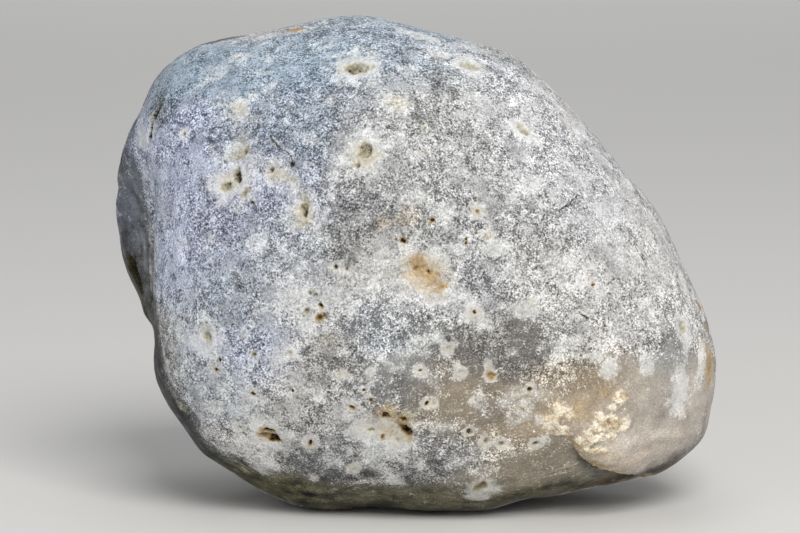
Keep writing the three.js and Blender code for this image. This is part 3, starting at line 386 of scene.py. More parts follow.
# The stains, where iron and dirt washed in, by the colour that they give the stone.
# Each row: pixel, half length, half width, turn and strength.
STAINS = {
    "ochre": [
        (425, 275, 4.4, 3.5, -20, 0.6), (419, 266, 1.9, 1.3, -20, 1.2), (429, 275, 2.6, 1.7, -30, 0.9),
        (441, 284, 1.5, 1.0, -30, 0.75), (408, 218, 2.8, 2.2, 0, 0.36), (384, 222, 2.0, 1.4, 0, 0.35),
        (384, 428, 1.6, 1.6, 0, 0.5), (387, 413, 2.4, 1.4, -10, 0.7), (397, 421, 2.0, 1.0, -25, 0.5),
        (406, 435, 1.5, 0.9, -40, 0.7), (268, 435, 1.7, 1.1, -25, 0.7), (264, 430, 1.0, 0.6, 20, 1.1),
        (578, 408, 2.4, 1.5, 70, 0.5), (584, 416, 1.8, 1.2, 0, 0.45), (552, 412, 2.6, 2.0, 80, 0.3),
        (590, 385, 4.5, 2.0, 0, 0.3), (602, 455, 3.0, 1.2, -30, 0.45), (296, 30, 1.3, 0.9, 10, 1.5),
        (423, 153, 1.0, 0.8, 0, 0.3), (710, 368, 2.8, 1.6, 85, 1.1), (699, 306, 0.9, 0.8, 80, 1.5),
        (487, 236, 1.3, 1.0, 0, 0.4), (531, 304, 1.0, 0.8, 0, 0.35), (588, 278, 1.6, 1.2, 0, 0.25),
        (602, 228, 1.2, 0.9, 0, 0.25), (705, 328, 0.6, 0.6, 80, 0.9), (520, 390, 2.0, 1.0, 10, 0.35),
        (460, 410, 5.0, 1.6, 5, 0.15), (575, 443, 2.2, 0.5, -50, 0.9), (594, 462, 2.4, 0.4, -38, 1.0),
        (615, 470, 2.4, 0.5, -20, 1.0), (343, 373, 1.3, 0.8, 0, 0.4), (371, 371, 0.8, 0.6, 0, 0.3),
        (404, 420, 1.2, 0.8, -30, 0.9), (600, 340, 1.6, 1.4, 0, 0.24),
    ],
    "olive": [
        (239, 153, 1.7, 1.3, 30, 0.5), (245, 471, 0.6, 0.6, 0, 0.2), (210, 338, 0.9, 0.8, -50, 0.5),
        (345, 469, 0.8, 0.8, 0, 0.3), (394, 102, 1.6, 1.2, 0, 0.34), (329, 341, 2.4, 1.3, 0, 0.36),
        (412, 414, 1.4, 1.2, 0, 0.5), (240, 108, 1.2, 0.9, 0, 0.22), (345, 469, 1.0, 1.2, 0, 0.3),
        (384, 431, 2.2, 1.5, 0, 0.45), (401, 435, 1.4, 0.9, -30, 0.8), (181, 405, 1.2, 1.0, -45, 0.5),
        (171, 351, 1.5, 0.9, -60, 0.4),
    ],
    "brown": [
        (605, 392, 2.0, 1.2, 40, 0.66), (597, 397, 1.6, 1.0, 20, 0.55), (588, 374, 2.4, 1.2, 0, 0.35),
        (404, 425, 1.6, 0.9, -50, 0.9), (386, 415, 1.3, 0.9, 0, 0.85), (482, 485, 1.2, 1.0, 70, 1.1),
        (270, 434, 1.5, 0.9, -20, 0.7),
    ],
    "straw": [
        (387, 430, 3.2, 2.0, -10, 0.75), (482, 486, 1.8, 1.5, 0, 0.4), (365, 155, 2.3, 2.3, 0, 0.85),
        (357, 69, 2.8, 1.5, 0, 0.7), (239, 153, 2.2, 1.9, 0, 0.35), (232, 182, 2.3, 1.9, 40, 0.6),
        (278, 174, 2.4, 1.5, -20, 0.6), (303, 212, 1.7, 2.2, 0, 0.8), (240, 108, 1.8, 1.6, 0, 0.5),
        (206, 333, 1.6, 1.8, 0, 0.35), (470, 67, 2.0, 1.0, -10, 0.7), (523, 130, 1.7, 1.0, -35, 0.6),
        (396, 102, 2.0, 1.5, 0, 0.5), (477, 211, 1.2, 1.1, 0, 0.5), (475, 312, 1.4, 1.2, 0, 0.5),
        (292, 300, 2.2, 1.8, 0, 0.2), (683, 327, 1.4, 1.0, 80, 0.7),
    ],
    "moss": [
        (127, 260, 1.8, 2.0, -70, 0.55), (134, 273, 2.0, 3.4, -62, 0.6), (141, 290, 2.2, 3.2, -70, 0.6),
        (146, 312, 1.2, 1.8, -75, 0.55),
    ],
}

# The crusts: cream mineral lumps that stand a little above the stone, round the ledge.
# Each row: pixel, half length, half width, turn and height.
CRUSTS = [
    (560, 409, 1.3, 1.0, 0, 0.2), (552, 420, 1.4, 1.2, 60, 0.25), (561, 430, 1.4, 0.9, -20, 0.25),
    (568, 413, 0.8, 0.8, 0, 0.15), (593, 436, 1.5, 1.3, 40, 0.3), (601, 424, 1.6, 1.2, 30, 0.3),
    (606, 432, 1.4, 1.2, 0, 0.25), (588, 446, 1.0, 0.8, 0, 0.2), (597, 450, 1.6, 0.7, -20, 0.2),
    (612, 421, 1.0, 1.0, 0, 0.25), (612, 407, 0.9, 0.7, 0, 0.15), (621, 398, 1.1, 1.1, 60, 0.25),
    (580, 441, 0.9, 0.9, 0, 0.15), (621, 425, 1.1, 0.9, 0, 0.2), (609, 438, 1.1, 0.8, 10, 0.15),
    (600, 416, 0.8, 0.7, 0, 0.12),
]

# The faint waterline bands, level and straight, which show only where the stone is clear.
# Each row: half width, how much paler the band is, and the line that it follows.
BANDS = [
    (1.0, 0.24, [(638, 437), (664, 431), (704, 425)]), (0.5, 0.1, [(614, 446), (666, 438)]),
    (0.4, -0.06, [(640, 421), (692, 415)]), (0.4, -0.06, [(640, 450), (690, 442)]),
    (0.26, 0.55, [(552, 471), (566, 467), (582, 463)]), (0.26, 0.4, [(545, 477), (572, 471)]),
    (0.26, 0.5, [(519, 486), (533, 485)]), (0.3, 0.5, [(324, 492), (340, 488), (360, 483)]),
    (0.26, 0.4, [(300, 496), (334, 493)]), (0.26, 0.4, [(344, 488), (366, 478)]),
]

# The lines: hair cracks, the broken ledge at the lower right, and the sharp edge in front of the left hollow.
CRACKS = [
    [(270, 136), (275, 143), (281, 149), (286, 151), (291, 155.5), (293, 162)],
    [(562, 208), (570, 203), (578, 195)], [(576, 307), (582, 315), (597, 321)],
    [(418, 172), (425, 169), (432, 172)],
]
LEDGE = [
    (549, 438), (558, 437), (566, 436), (571, 442), (577, 451), (587, 459), (600, 467), (618, 472),
    (645, 475),
]
RIDGE = [(139, 130), (141, 150), (144, 170), (148, 195), (151, 238), (152, 280), (152.5, 310)]


def beside(places, line):
    """How far places lie from a line through pixels: below zero to the right of it, as it is followed."""
    reach = np.full(len(places), np.inf)
    corners = [site(x, y) for x, y in line]
    for start, end in zip(corners, corners[1:]):
        step = end - start
        off = places - start
        share = np.clip(off @ step / (step @ step), 0, 1)
        gap = np.linalg.norm(off - np.outer(share, step), axis=1)
        side = np.where(np.cross(step, off) @ BACK < 0, -1, 1)
        reach = np.where(gap < np.abs(reach), gap * side, reach)
    return reach


# The hidden sides, which the photograph doesn't show, have the same kinds of pits, in loose groups. The
# groups step round the back by the golden share of its span, and come down it from near the top.
HEART = MIDDLE + 0.4 * RIGHT + 1.0 * UP
HIDDEN_GROUPS = 11
FIRST_TURN = 12
TURN_SPAN = 156
GOLDEN_STEP = 0.618034
TOP_RISE = 62
RISE_SPAN = 105
HIDDEN_WHITENING = 0.8
chance = np.random.default_rng(5)


def skin_at(turn, rise):
    """The point of the skin at a turn about the stone's heart and a rise, in degrees."""
    around = math.radians(turn)
    above = math.radians(rise)
    level = math.cos(above)
    way = (level * math.cos(around), level * math.sin(around), math.sin(above))
    return np.array(tree.ray_cast(Vector(HEART * MM), Vector(way))[0]) / MM


pits = [(site(x, y), *shape, tint) for tint, rows in PITS.items() for x, y, *shape in rows]
for group in range(HIDDEN_GROUPS):
    kind = ("olive", "ochre")[group % 2]
    turn = FIRST_TURN + TURN_SPAN * (GOLDEN_STEP * group % 1)
    rise = TOP_RISE - RISE_SPAN * (group + 0.5) / HIDDEN_GROUPS
    for member in range(chance.integers(1, 6)):
        point = skin_at(turn + chance.normal(0, 7), rise + chance.normal(0, 6))
        size = 0.2 + 0.8 * chance.random() ** 2
        shape = (1.3 * size, 0.8 * size, chance.uniform(0, 180), 0.5 * size, 0.9 + 2 * size)
        pits.append((point, *shape, HIDDEN_WHITENING, chance.uniform(0.3, 1), kind))

# The faces near the marks of the front are cut finer. A halo wider than the soft reach needs no finer faces.
SOFT_HALO = 1.6
HAIR_BAND = 0.4
LINE_REACH = 0.6
FINER_CUTS = 3
form = nodule.data
coarse = read(form.vertices, "co", 3) / MM
near_marks = np.zeros(len(coarse), bool)
for point, long, wide, turn, deep, halo, *rest in pits:
    reach = max(1.4 * long + 0.3, 1.15 * halo if halo < SOFT_HALO else 0)
    near_marks |= np.linalg.norm(coarse - point, axis=1) < reach
for x, y, long, *rest in CRUSTS:
    near_marks |= np.linalg.norm(coarse - site(x, y), axis=1) < 1.1 * long
hair_bands = [line for wide, paler, line in BANDS if wide < HAIR_BAND]
for line in CRACKS + hair_bands + [LEDGE, RIDGE]:
    near_marks |= np.abs(beside(coarse, line)) < LINE_REACH
refined = bmesh.new()
refined.from_mesh(form)
refined.verts.ensure_lookup_table()
edges = [e for e in refined.edges if near_marks[e.verts[0].index] and near_marks[e.verts[1].index]]
bmesh.ops.subdivide_edges(refined, edges=edges, cuts=FINER_CUTS, use_grid_fill=True)
bmesh.ops.triangulate(refined, faces=[f for f in refined.faces if len(f.verts) > 4])
refined.to_mesh(form)
refined.free()

spots = read(form.vertices, "co", 3) / MM
normals = read(form.vertex_normals, "vector", 3)


def ripple(size, seed):
    """A smooth random field, mostly within -0.5 and 0.5, with swells that are about one size wide."""
    shift = np.array([seed * 7.3, seed * 3.1, seed * 5.7])
    return np.array([noise.noise(p) for p in spots / size + shift])


ragged = 0.5 * ripple(1.5, 1) + 0.4 * ripple(0.6, 2) + 0.35 * ripple(0.25, 3)
gritty = 1.2 * ripple(0.35, 6)


def apart(point, long, wide, turn):
    """How far each spot lies from a mark, where 1 is the mark's edge."""
    off = spots - point
    about = normals[np.einsum("ij,ij->i", off, off) < (0.5 * long + 0.8) ** 2].mean(axis=0)
    about /= np.linalg.norm(about)
    lean = math.radians(turn)
    along = math.cos(lean) * RIGHT + math.sin(lean) * UP
    along = along - along @ about * about
    along /= np.linalg.norm(along)
    t = off @ along
    rest = np.maximum(0, np.einsum("ij,ij->i", off, off) - t * t)
    return np.sqrt((t / long) ** 2 + rest / wide ** 2)


# The marks laid on the stone: how far it is raised, and how much of the dark filling, of crust, of chalk and
# of rust each spot has. A pit has a colour inside, and its rim and the stains have one of their own. The dark
# filling also carries the painted shadow under the ledge.
FILLINGS = {
    "olive": (0.33, 0.3, 0.195), "ochre": (0.3, 0.2, 0.085), "grey": (0.075, 0.085, 0.075),
    "moss": (0.05, 0.045, 0.018),
}
RIMS = {
    "olive": (0.56, 0.53, 0.42), "ochre": (0.54, 0.4, 0.22), "grey": (0.4, 0.41, 0.4),
    "moss": (0.06, 0.057, 0.038), "straw": (0.64, 0.59, 0.47), "brown": (0.38, 0.28, 0.17),
}
PINHOLE = 0.4
relief, umber, crust, chalk, rust = np.zeros((5, len(spots)))
filling = np.tile(FILLINGS["ochre"], (len(spots), 1))
brim = np.tile(RIMS["ochre"], (len(spots), 1))


def lay(mask, colours, strength, colour):
    """Gives spots a colour where a mark is stronger than those before it, and keeps the strongest."""
    colours[strength > mask] = colour
    np.maximum(mask, strength, out=mask)


for point, long, wide, turn, deep, halo, whitening, darkness, tint in pits:
    distance = apart(point, long, wide, turn) * (1 + 0.85 * ragged)
    relief -= deep * (1 - smooth(0.35, 1.25, distance)) * (1 + gritty)
    inside = darkness * (1 - smooth(0.45 if long < PINHOLE else 0.1, 1.45, distance))
    lay(umber, filling, inside, FILLINGS[tint])
    strongest = min(1 if tint == "ochre" else 0.7, 3 * darkness, 0.2 + 1.8 * long)
    ring = strongest * (1 - smooth(0.8, min(2.2, 1.2 + 0.35 / long), distance))
    lay(rust, brim, ring, RIMS[tint])
    soft = halo > SOFT_HALO
    spread = apart(point, halo * (long / wide) ** 0.25, halo, turn) * (1 + (0.9 if soft else 0.35) * ragged)
    if soft:
        chalk = np.maximum(chalk, whitening * (1 - smooth(0.2, 1.25, spread)))
    else:
        crisp = whitening * (1 - smooth(0.75, 1.1, spread))
        chalk = np.maximum(chalk, crisp * (1.05 + 0.4 * gritty))
        rust = np.maximum(rust, 0.34 * crisp)
for x, y, long, wide, turn, strength in PATCHES:
    distance = apart(site(x, y), long, wide, turn) * (1 + 0.9 * ragged)
    chalk = np.maximum(chalk, strength * (1 - smooth(0.4, 1.3, distance)))
for tint, rows in STAINS.items():
    for x, y, long, wide, turn, strength in rows:
        distance = apart(site(x, y), long, wide, turn) * (1 + 0.8 * ragged)
        lay(rust, brim, strength * (1 - smooth(0.2, 1.25, distance)), RIMS[tint])

for x, y, long, wide, turn, height in CRUSTS:
    distance = apart(site(x, y), long, wide, turn) * (1 + 0.9 * ragged)
    inside = 1 - smooth(0.5, 1.25, distance)
    crust = np.maximum(crust, inside)
    relief += height * inside * (1 + 2 * ragged)

# The cracks are fine as a hair, and dark with a pale lip. The ledge sets in by degrees at its left end and
# breaks off below a crusty ochre rim. Below it the stone is sunk and darker, partly as painted shade, with a
# darker painted shade right under the lip and a painted shadow that ends before the stone's right end. The
# ridge in front of the hollow is low, pale and ragged.
HAIR = 0.16
LEDGE_START = (18.5, 21)
SHADOW_END = (26, 31)
for line in CRACKS:
    reach = beside(spots, line) + 0.25 * ragged
    hair = 0.8 * (1 - smooth(0, HAIR, np.abs(reach))) * np.clip(0.7 + gritty, 0.2, 1)
    lay(umber, filling, hair, FILLINGS["grey"])
    chalk = np.maximum(chalk, 0.6 * smooth(0.1, 0.2, reach) * (1 - smooth(0.2, 0.4, reach)))
    relief -= 0.05 * (1 - smooth(0.05, 0.25, np.abs(reach)))
ledge = beside(spots, LEDGE) + 0.35 * ragged
broken = smooth(*LEDGE_START, spots[:, 0])
below = 1 - smooth(-0.12, 0.08, ledge)
# Under the ledge the stone is sunk and darker, partly as painted shade, darkest as painted shade under the
# lip.
below_ledge = smooth(-3.5, -0.4, ledge) * below * broken
undercut_shade = smooth(-1.0, -0.15, ledge) * below * broken
rim = smooth(-0.1, 0.1, ledge) * (1 - smooth(0.3, 1.4, ledge)) * broken
relief += 0.35 * rim * (0.7 + ragged) - 0.45 * below_ledge
# A painted shadow under the lip, laid in with the dark grey filling of the pits.
shadow = smooth(-2.2, -0.7, ledge) * below * broken * (1 - smooth(*SHADOW_END, spots[:, 0]))
lay(umber, filling, shadow * (0.42 * (0.8 + 0.6 * ragged)), FILLINGS["grey"])
rust = np.maximum(rust, 0.75 * rim)
crust = np.maximum(crust, rim * (0.45 + 1.2 * ragged))
ridge = np.abs(beside(spots, RIDGE) + 0.2 * ragged)
relief += 0.2 * (1 - smooth(0.1, 0.7, ridge)) * (0.4 + ragged)
chalk = np.maximum(chalk, 0.45 * (1 - smooth(0.1, 0.8, ridge)) * (0.8 + 0.5 * ragged))

# The stone's colour under the frost. It is bluer at the upper left, neutral at the right, clear and grey in
# glassy windows below the middle, beige beyond the ledge, and olive along the foot. Part of it is painted
# shade: the darkest greys along the left rim and on the hollow's outer rim, and the darker olive and umber of
# the foot and the lower right rim, where they turn away from the light.
TONES = {
    "ice blue": (155, 170, 184), "sky": (147, 167, 186), "steel": (144, 157, 172), "denim": (141, 153, 169),
    "lavender": (172, 181, 207), "bloom": (190, 200, 226), "shell": (226, 210, 192),
    "heather": (160, 166, 187), "silver": (185, 190, 197), "ash": (189, 187, 185), "dove": (171, 171, 171),
    "pearl": (198, 198, 201), "snow": (208, 206, 205), "slate": (150, 151, 153), "flint": (132, 133, 135),
    "smoke": (138, 135, 130), "taupe": (160, 152, 139), "fawn": (171, 162, 147), "beige": (188, 180, 170),
    "mauve": (166, 158, 151), "olive": (78, 75, 50), "drab": (98, 95, 76), "stormy": (124, 125, 112),
    "hollow": (104, 107, 109), "shade": (62, 65, 65), "cream": (217, 208, 198), "pale": (201, 192, 182),
    "sand": (190, 176, 156), "stone": (165, 166, 166), "umber": (105, 92, 72), "deep shade": (38, 40, 36),
}

# Each row: pixel, half width, half height, tone, and how frosted the zone is.
ZONES = [
    (190, 70, 5, 4, "sky", 0.8), (245, 75, 5, 4, "sky", 0.78), (310, 60, 6, 4, "sky", 0.6),
    (350, 35, 7, 2.5, "steel", 0.45), (400, 60, 5, 4, "steel", 0.5), (160, 108, 1.4, 2.6, "hollow", 0.4),
    (173, 92, 2, 2, "sky", 0.5), (162, 322, 1.8, 2.2, "ash", 0.55), (185, 130, 4, 4, "lavender", 0.6),
    (180, 190, 4, 5, "lavender", 0.65), (270, 125, 6, 4, "denim", 0.5), (320, 120, 5, 6, "denim", 0.5),
    (275, 190, 6, 5, "heather", 0.6), (230, 230, 6, 5, "heather", 0.65), (175, 260, 4, 6, "bloom", 0.65),
    (230, 290, 6, 4, "denim", 0.6), (300, 240, 5, 5, "silver", 0.6), (290, 300, 6, 5, "pearl", 0.8),
    (350, 150, 3, 6, "ash", 0.7), (355, 205, 3.2, 3.4, "flint", 0.32), (343, 242, 2.8, 3.8, "smoke", 0.4),
    (375, 270, 5, 3, "ash", 0.85), (430, 110, 5, 6, "dove", 0.5), (460, 170, 5, 6, "dove", 0.55),
    (470, 60, 6, 3, "silver", 0.6), (520, 100, 5, 5, "pearl", 0.6), (560, 150, 6, 6, "pearl", 0.65),
    (572, 118, 1.8, 4, "snow", 0.8), (520, 210, 6, 5, "dove", 0.6), (600, 200, 6, 7, "pearl", 0.7),
    (640, 240, 4, 7, "snow", 0.7), (430, 240, 4, 4, "stone", 0.55), (485, 268, 3.5, 3, "slate", 0.4),
    (540, 260, 5, 4, "ash", 0.6), (600, 290, 6, 4, "ash", 0.65), (440, 295, 5, 2.5, "pearl", 0.85),
    (400, 320, 6, 2.5, "stone", 0.45), (335, 350, 3.5, 4, "smoke", 0.4), (370, 330, 4, 3, "silver", 0.4),
    (520, 345, 3.8, 3.6, "smoke", 0.24), (470, 345, 3.5, 3, "smoke", 0.3), (570, 330, 4, 3, "ash", 0.5),
    (660, 335, 4, 2.5, "ash", 0.5), (672, 351, 3.2, 2.4, "stone", 0.08),
    (490, 412, 1.8, 1.2, "slate", 0.34), (690, 300, 2.5, 5, "snow", 0.6), (640, 400, 5, 4, "beige", 0.0),
    (692, 396, 2.4, 4, "pale", 0.0), (662, 402, 2.2, 2.2, "mauve", 0.0), (585, 368, 2.5, 2, "taupe", 0.4),
    (560, 378, 3, 1.8, "sand", 0.33), (607, 378, 2.4, 1.4, "taupe", 0.18), (660, 445, 6, 3, "pale", 0.0),
    (600, 400, 4, 4, "sand", 0.05), (620, 448, 4, 3, "cream", 0.0), (628, 461, 3, 1.2, "shell", 0.0),
    (604, 428, 1.8, 2.0, "cream", 0.0), (400, 380, 4, 3, "stone", 0.22), (440, 385, 5, 2.5, "taupe", 0.16),
    (455, 395, 2.5, 2, "sand", 0.12), (450, 415, 6, 2.5, "fawn", 0.18), (500, 420, 5, 3, "sand", 0.18),
    (540, 420, 3, 3, "sand", 0.15), (562, 450, 3, 2.4, "fawn", 0.15), (342, 496, 4, 1.2, "stormy", 0.1),
    (520, 475, 6, 3, "fawn", 0.15), (440, 450, 4, 3, "dove", 0.4), (360, 450, 5, 3, "dove", 0.5),
    (330, 455, 4, 3, "flint", 0.32), (290, 410, 5, 4, "ash", 0.7), (220, 390, 5, 5, "silver", 0.65),
    (200, 330, 4, 4, "silver", 0.65), (197, 346, 1.6, 1.2, "bloom", 0.8),
    (250, 345, 5, 4, "lavender", 0.55), (240, 440, 4, 3, "snow", 0.6), (350, 400, 4, 3, "dove", 0.5),
    # The shade rows on the left rim and the deep shade rows on the hollow's outer rim below are painted
    # shade.
    (310, 370, 4, 4, "ash", 0.6), (169, 355, 1.4, 5, "dove", 0.42), (155, 345, 3.5, 4, "shade", 0.12),
    (158, 380, 3.5, 3, "shade", 0.12), (170, 404, 3.0, 2.5, "shade", 0.14),
    (181, 418, 3, 2.2, "shade", 0.14), (154, 255, 1.0, 6, "ash", 0.4), (122, 185, 2.2, 6, "hollow", 0.0),
    (137, 195, 1.2, 4, "hollow", 0.0), (125, 235, 1.5, 4, "deep shade", 0.0), (142, 230, 1.3, 4, "hollow", 0.0),
    (131, 274, 3.2, 3, "deep shade", 0.0), (146, 262, 1.2, 4, "hollow", 0.0), (143, 300, 3.2, 3.5, "deep shade", 0.0),
    (151, 168, 1.3, 5, "bloom", 0.6), (140, 137, 1.7, 3, "bloom", 0.7), (162, 208, 1.6, 4, "bloom", 0.65),
    # The olive, drab, umber and stormy rows of the foot and the lower right rim are darker as painted shade.
    (250, 478, 5, 2, "olive", 0.05), (310, 495, 6, 2.5, "olive", 0.05), (380, 500, 6, 2.5, "drab", 0.05),
    (450, 500, 6, 2, "drab", 0.1), (530, 492, 6, 1.8, "olive", 0.05), (605, 482, 5, 1.2, "umber", 0.05),
    (566, 485, 3, 1.2, "stormy", 0.05), (210, 455, 3, 2, "shade", 0.15),
    (690, 458, 3.2, 2.2, "umber", 0.03), (650, 474, 4, 1.2, "umber", 0.03), (510, 60, 3, 2, "stone", 0.6),
    (490, 48, 3, 1.5, "ash", 0.6), (710, 390, 1.5, 4, "pale", 0.05), (703, 361, 1.1, 2.4, "cream", 0.3),
]


def linear(tone):
    """A display colour, from 0 to 255, as light."""
    share = np.array(tone) / 255
    return np.where(share > 0.04045, ((share + 0.055) / 1.055) ** 2.4, share / 12.92)


PLAIN_WEIGHT = 0.02
PLAIN_FROST = 0.55
ZONE_EDGE = 1.2
weight = np.full(len(spots), PLAIN_WEIGHT)
tone = np.outer(weight, linear(TONES["ash"]))
frost = PLAIN_FROST * weight


def add_zone(point, wide, high, name, frosting):
    """Adds a zone's tone and frost, which fade out round its middle."""
    share = np.exp(-ZONE_EDGE * apart(point, wide, high, 0) ** 2)
    weight[:] += share
    tone[:] += np.outer(share, linear(TONES[name]))
    frost[:] += share * frosting


for x, y, wide, high, name, frosting in ZONES:
    add_zone(site(x, y), wide, high, name, frosting)

# The zones of the hidden sides. Each row: turn and rise from the stone's heart, and the rest as above.
HIDDEN_ZONES = [
    (20, 30, 9, 8, "pearl", 0.65), (55, 40, 9, 8, "silver", 0.6), (90, 35, 10, 8, "steel", 0.55),
    (130, 35, 10, 8, "heather", 0.6), (165, 20, 8, 8, "lavender", 0.6), (30, 0, 9, 7, "ash", 0.55),
    (65, 5, 9, 7, "dove", 0.4), (100, 0, 9, 7, "pearl", 0.65), (140, 0, 9, 7, "silver", 0.6),
    (15, -20, 8, 5, "sand", 0.1), (45, -25, 8, 6, "fawn", 0.15), (80, -28, 9, 6, "slate", 0.3),
    # Low down, the shade rows and their olive and flint neighbours carry the painted shade of the left rim
    # round.
    (120, -25, 9, 6, "ash", 0.5), (160, -20, 8, 6, "slate", 0.4), (168, -40, 7, 5, "olive", 0.08),
    (178, -30, 6, 6, "shade", 0.12), (172, -22, 5, 5, "flint", 0.25), (184, -38, 5, 5, "shade", 0.1),
    # The olive rows under the back are the foot, darker as painted shade.
    (30, -45, 9, 6, "olive", 0.05), (90, -50, 10, 6, "olive", 0.08), (150, -45, 9, 6, "olive", 0.05),
    (80, 75, 9, 9, "ice blue", 0.5),
]
for turn, rise, wide, high, name, frosting in HIDDEN_ZONES:
    add_zone(skin_at(turn, rise), wide, high, name, frosting)
tone /= weight[:, None]
frost /= weight

# Clouds in the frost, upright streaks on the dark flap at the left, level layers along the clear foot, the
# faint bands, the worn places with the painted shade of the rims, and the painted shade under the ledge.
FLAP_EDGE = (-32.5, -31)
strata = ripple(np.array([4, 4, 1.1]), 7) + 0.7 * ripple(np.array([1.6, 1.6, 1.1]), 11)
etched_zone = smooth(0.1, 0.4, frost)
clouds = (0.5 * ripple(3, 4) + 0.4 * ripple(1.1, 5)) * etched_zone * (1.7 - 1.1 * frost)
frost = np.clip(np.maximum(frost + 0.7 * clouds, 0.26 * etched_zone), 0, 1)
tone *= 1 + 0.45 * clouds[:, None]
streaks = 0.9 * ripple(np.array([0.7, 0.7, 4]), 9) + 0.7 * ripple(np.array([0.35, 0.35, 2]), 10)
tone *= 1 + (streaks * (1 - smooth(*FLAP_EDGE, spots[:, 0])) * (1 - smooth(0, 0.2, frost)))[:, None]
streaked = 1.7 * np.clip(1 - 3 * tone.mean(axis=1), 0.13, 1)
for wide, paler, line in BANDS:
    band = 1 - smooth(0.1 * wide, wide, np.abs(beside(spots, line) + 0.1 * ragged))
    tone *= 1 + paler * band[:, None]
for x, y, long, wide, turn, darker in WORN_AND_SHADED:
    # Each row darkens the stone and its chalk, as wear in most places and as painted shade along the rims and
    # under the ledge.
    bare_and_shaded = 1 - smooth(0.2, 1.4, apart(site(x, y), long, wide, turn) * (1 + 0.6 * ragged))
    tone *= 1 - darker * bare_and_shaded[:, None]
    chalk *= 1 - darker * bare_and_shaded
layers = streaked * strata * (1 - smooth(0, 0.3, frost))
# Under the ledge the tone is darkened, partly as painted shade and most of all right under the lip.
tone *= (1 - 0.3 * below_ledge - 0.6 * undercut_shade + 0.2 * ripple(1.5, 8) + layers)[:, None]
frost *= 1 - 0.8 * below_ledge

# The pits, the crusts and the ledge are worked into the form, and the marks are kept on its mesh by name, so
# that the material can read them.
spots += normals * relief[:, None]
form.vertices.foreach_set("co", (spots * MM).ravel())
for name, values in {"frost": frost, "chalk": chalk, "rust": rust, "umber": umber, "crust": crust}.items():
    form.attributes.new(name, "FLOAT", "POINT").data.foreach_set("value", values)
for name, values in {"tone": tone, "filling": filling, "brim": brim}.items():
    opaque = np.column_stack([values, np.ones(len(spots))])
    form.attributes.new(name, "FLOAT_COLOR", "POINT").data.foreach_set("color", opaque.ravel())
form.update()

# The frosted chalcedony. The skin is clear grey stone under a frost of fine pale grains and curled threads,
# with darker dots where they are missing. Chalk, crusts, rust and the filling of the pits lie over it. The
# sizes of the grains are in millimetres.
CLOUD_SIZE = 1.8
GRAIN_SIZE = 0.22
CURL_SIZE = 0.8
DOT_SIZE = 0.34
STRAND_SIZE = 0.35
GRIT_SIZE = 0.4
GRIT_LIMIT = 1.4
LUMP_SIZE = 1.2
BUMP_SIZE = 0.5
BUMP_HEIGHT = 0.12
STRAND_STRETCH = (0.4, 0.4, 1.5)
CHALK_COLOUR = (0.545, 0.545, 0.535)
CRUST_CREAM = (0.93, 0.84, 0.68, 1)
CRUST_TAN = (0.64, 0.48, 0.3, 1)
RUST_CORE = (0.38, 0.26, 0.135)
PIT_BLACK = (0.022, 0.015, 0.008, 1)
SCATTER_COLOURS = (1, 0.9, 0.8)
SCATTER_DEPTH = 0.8
REFRACTION = 1.54


def node(graph, kind, inputs=None, **settings):
    """A node with its settings, and with its inputs set or joined."""
    made = graph.nodes.new(kind)
    for name, value in settings.items():
        setattr(made, name, value)
    for name, value in (inputs or {}).items():
        if isinstance(value, bpy.types.NodeSocket):
            graph.links.new(value, made.inputs[name])
        else:
            made.inputs[name].default_value = value
    return made


chalcedony = bpy.data.materials.new("frosted chalcedony")
chalcedony.use_nodes = True
surface = chalcedony.node_tree
shader = surface.nodes["Principled BSDF"]
places = node(surface, "ShaderNodeTexCoord").outputs["Object"]


def mark(name, output="Fac"):
    """What the stone's own mask of that name says here."""
    return node(surface, "ShaderNodeAttribute", attribute_name=name).outputs[output]


def speckle(size, detail, roughness=0.6, curl=0.0, where=places):
    """Random cloudy grains of a size, drawn out into curls."""
    inputs = {"Vector": where, "Scale": 1 / (size * MM), "Detail": detail}
    inputs.update({"Roughness": roughness, "Distortion": curl})
    return node(surface, "ShaderNodeTexNoise", inputs).outputs["Fac"]


def maths(operation, a, b=0.0, c=0.0, graph=surface):
    """The result of one operation on up to three values."""
    return node(graph, "ShaderNodeMath", {0: a, 1: b, 2: c}, operation=operation).outputs[0]


def ramp(value, low, high):
    """0 where the value is below low, 1 above high."""
    inputs = {"Value": value, "From Min": low, "From Max": high}
    return node(surface, "ShaderNodeMapRange", inputs, interpolation_type="SMOOTHSTEP").outputs[0]


def blended(share, under, over):
    """Two colours, mixed by a share."""
    return node(surface, "ShaderNodeMix", {0: share, 6: under, 7: over}, data_type="RGBA").outputs[2]


def weighed(share, *fields):
    """Adds fields, each with the share that it counts and the level that it is measured from."""
    total = share
    for field, strength, level in fields:
        total = maths("ADD", total, maths("MULTIPLY_ADD", field, strength, -strength * level))
    return total


def scaled(colour, by):
    """A colour made brighter or darker."""
    return node(surface, "ShaderNodeVectorMath", {0: colour, "Scale": by}, operation="SCALE").outputs[0]


def raised(colour, by):
    """A colour with another added to it."""
    return node(surface, "ShaderNodeVectorMath", {0: colour, 1: by}, operation="ADD").outputs[0]


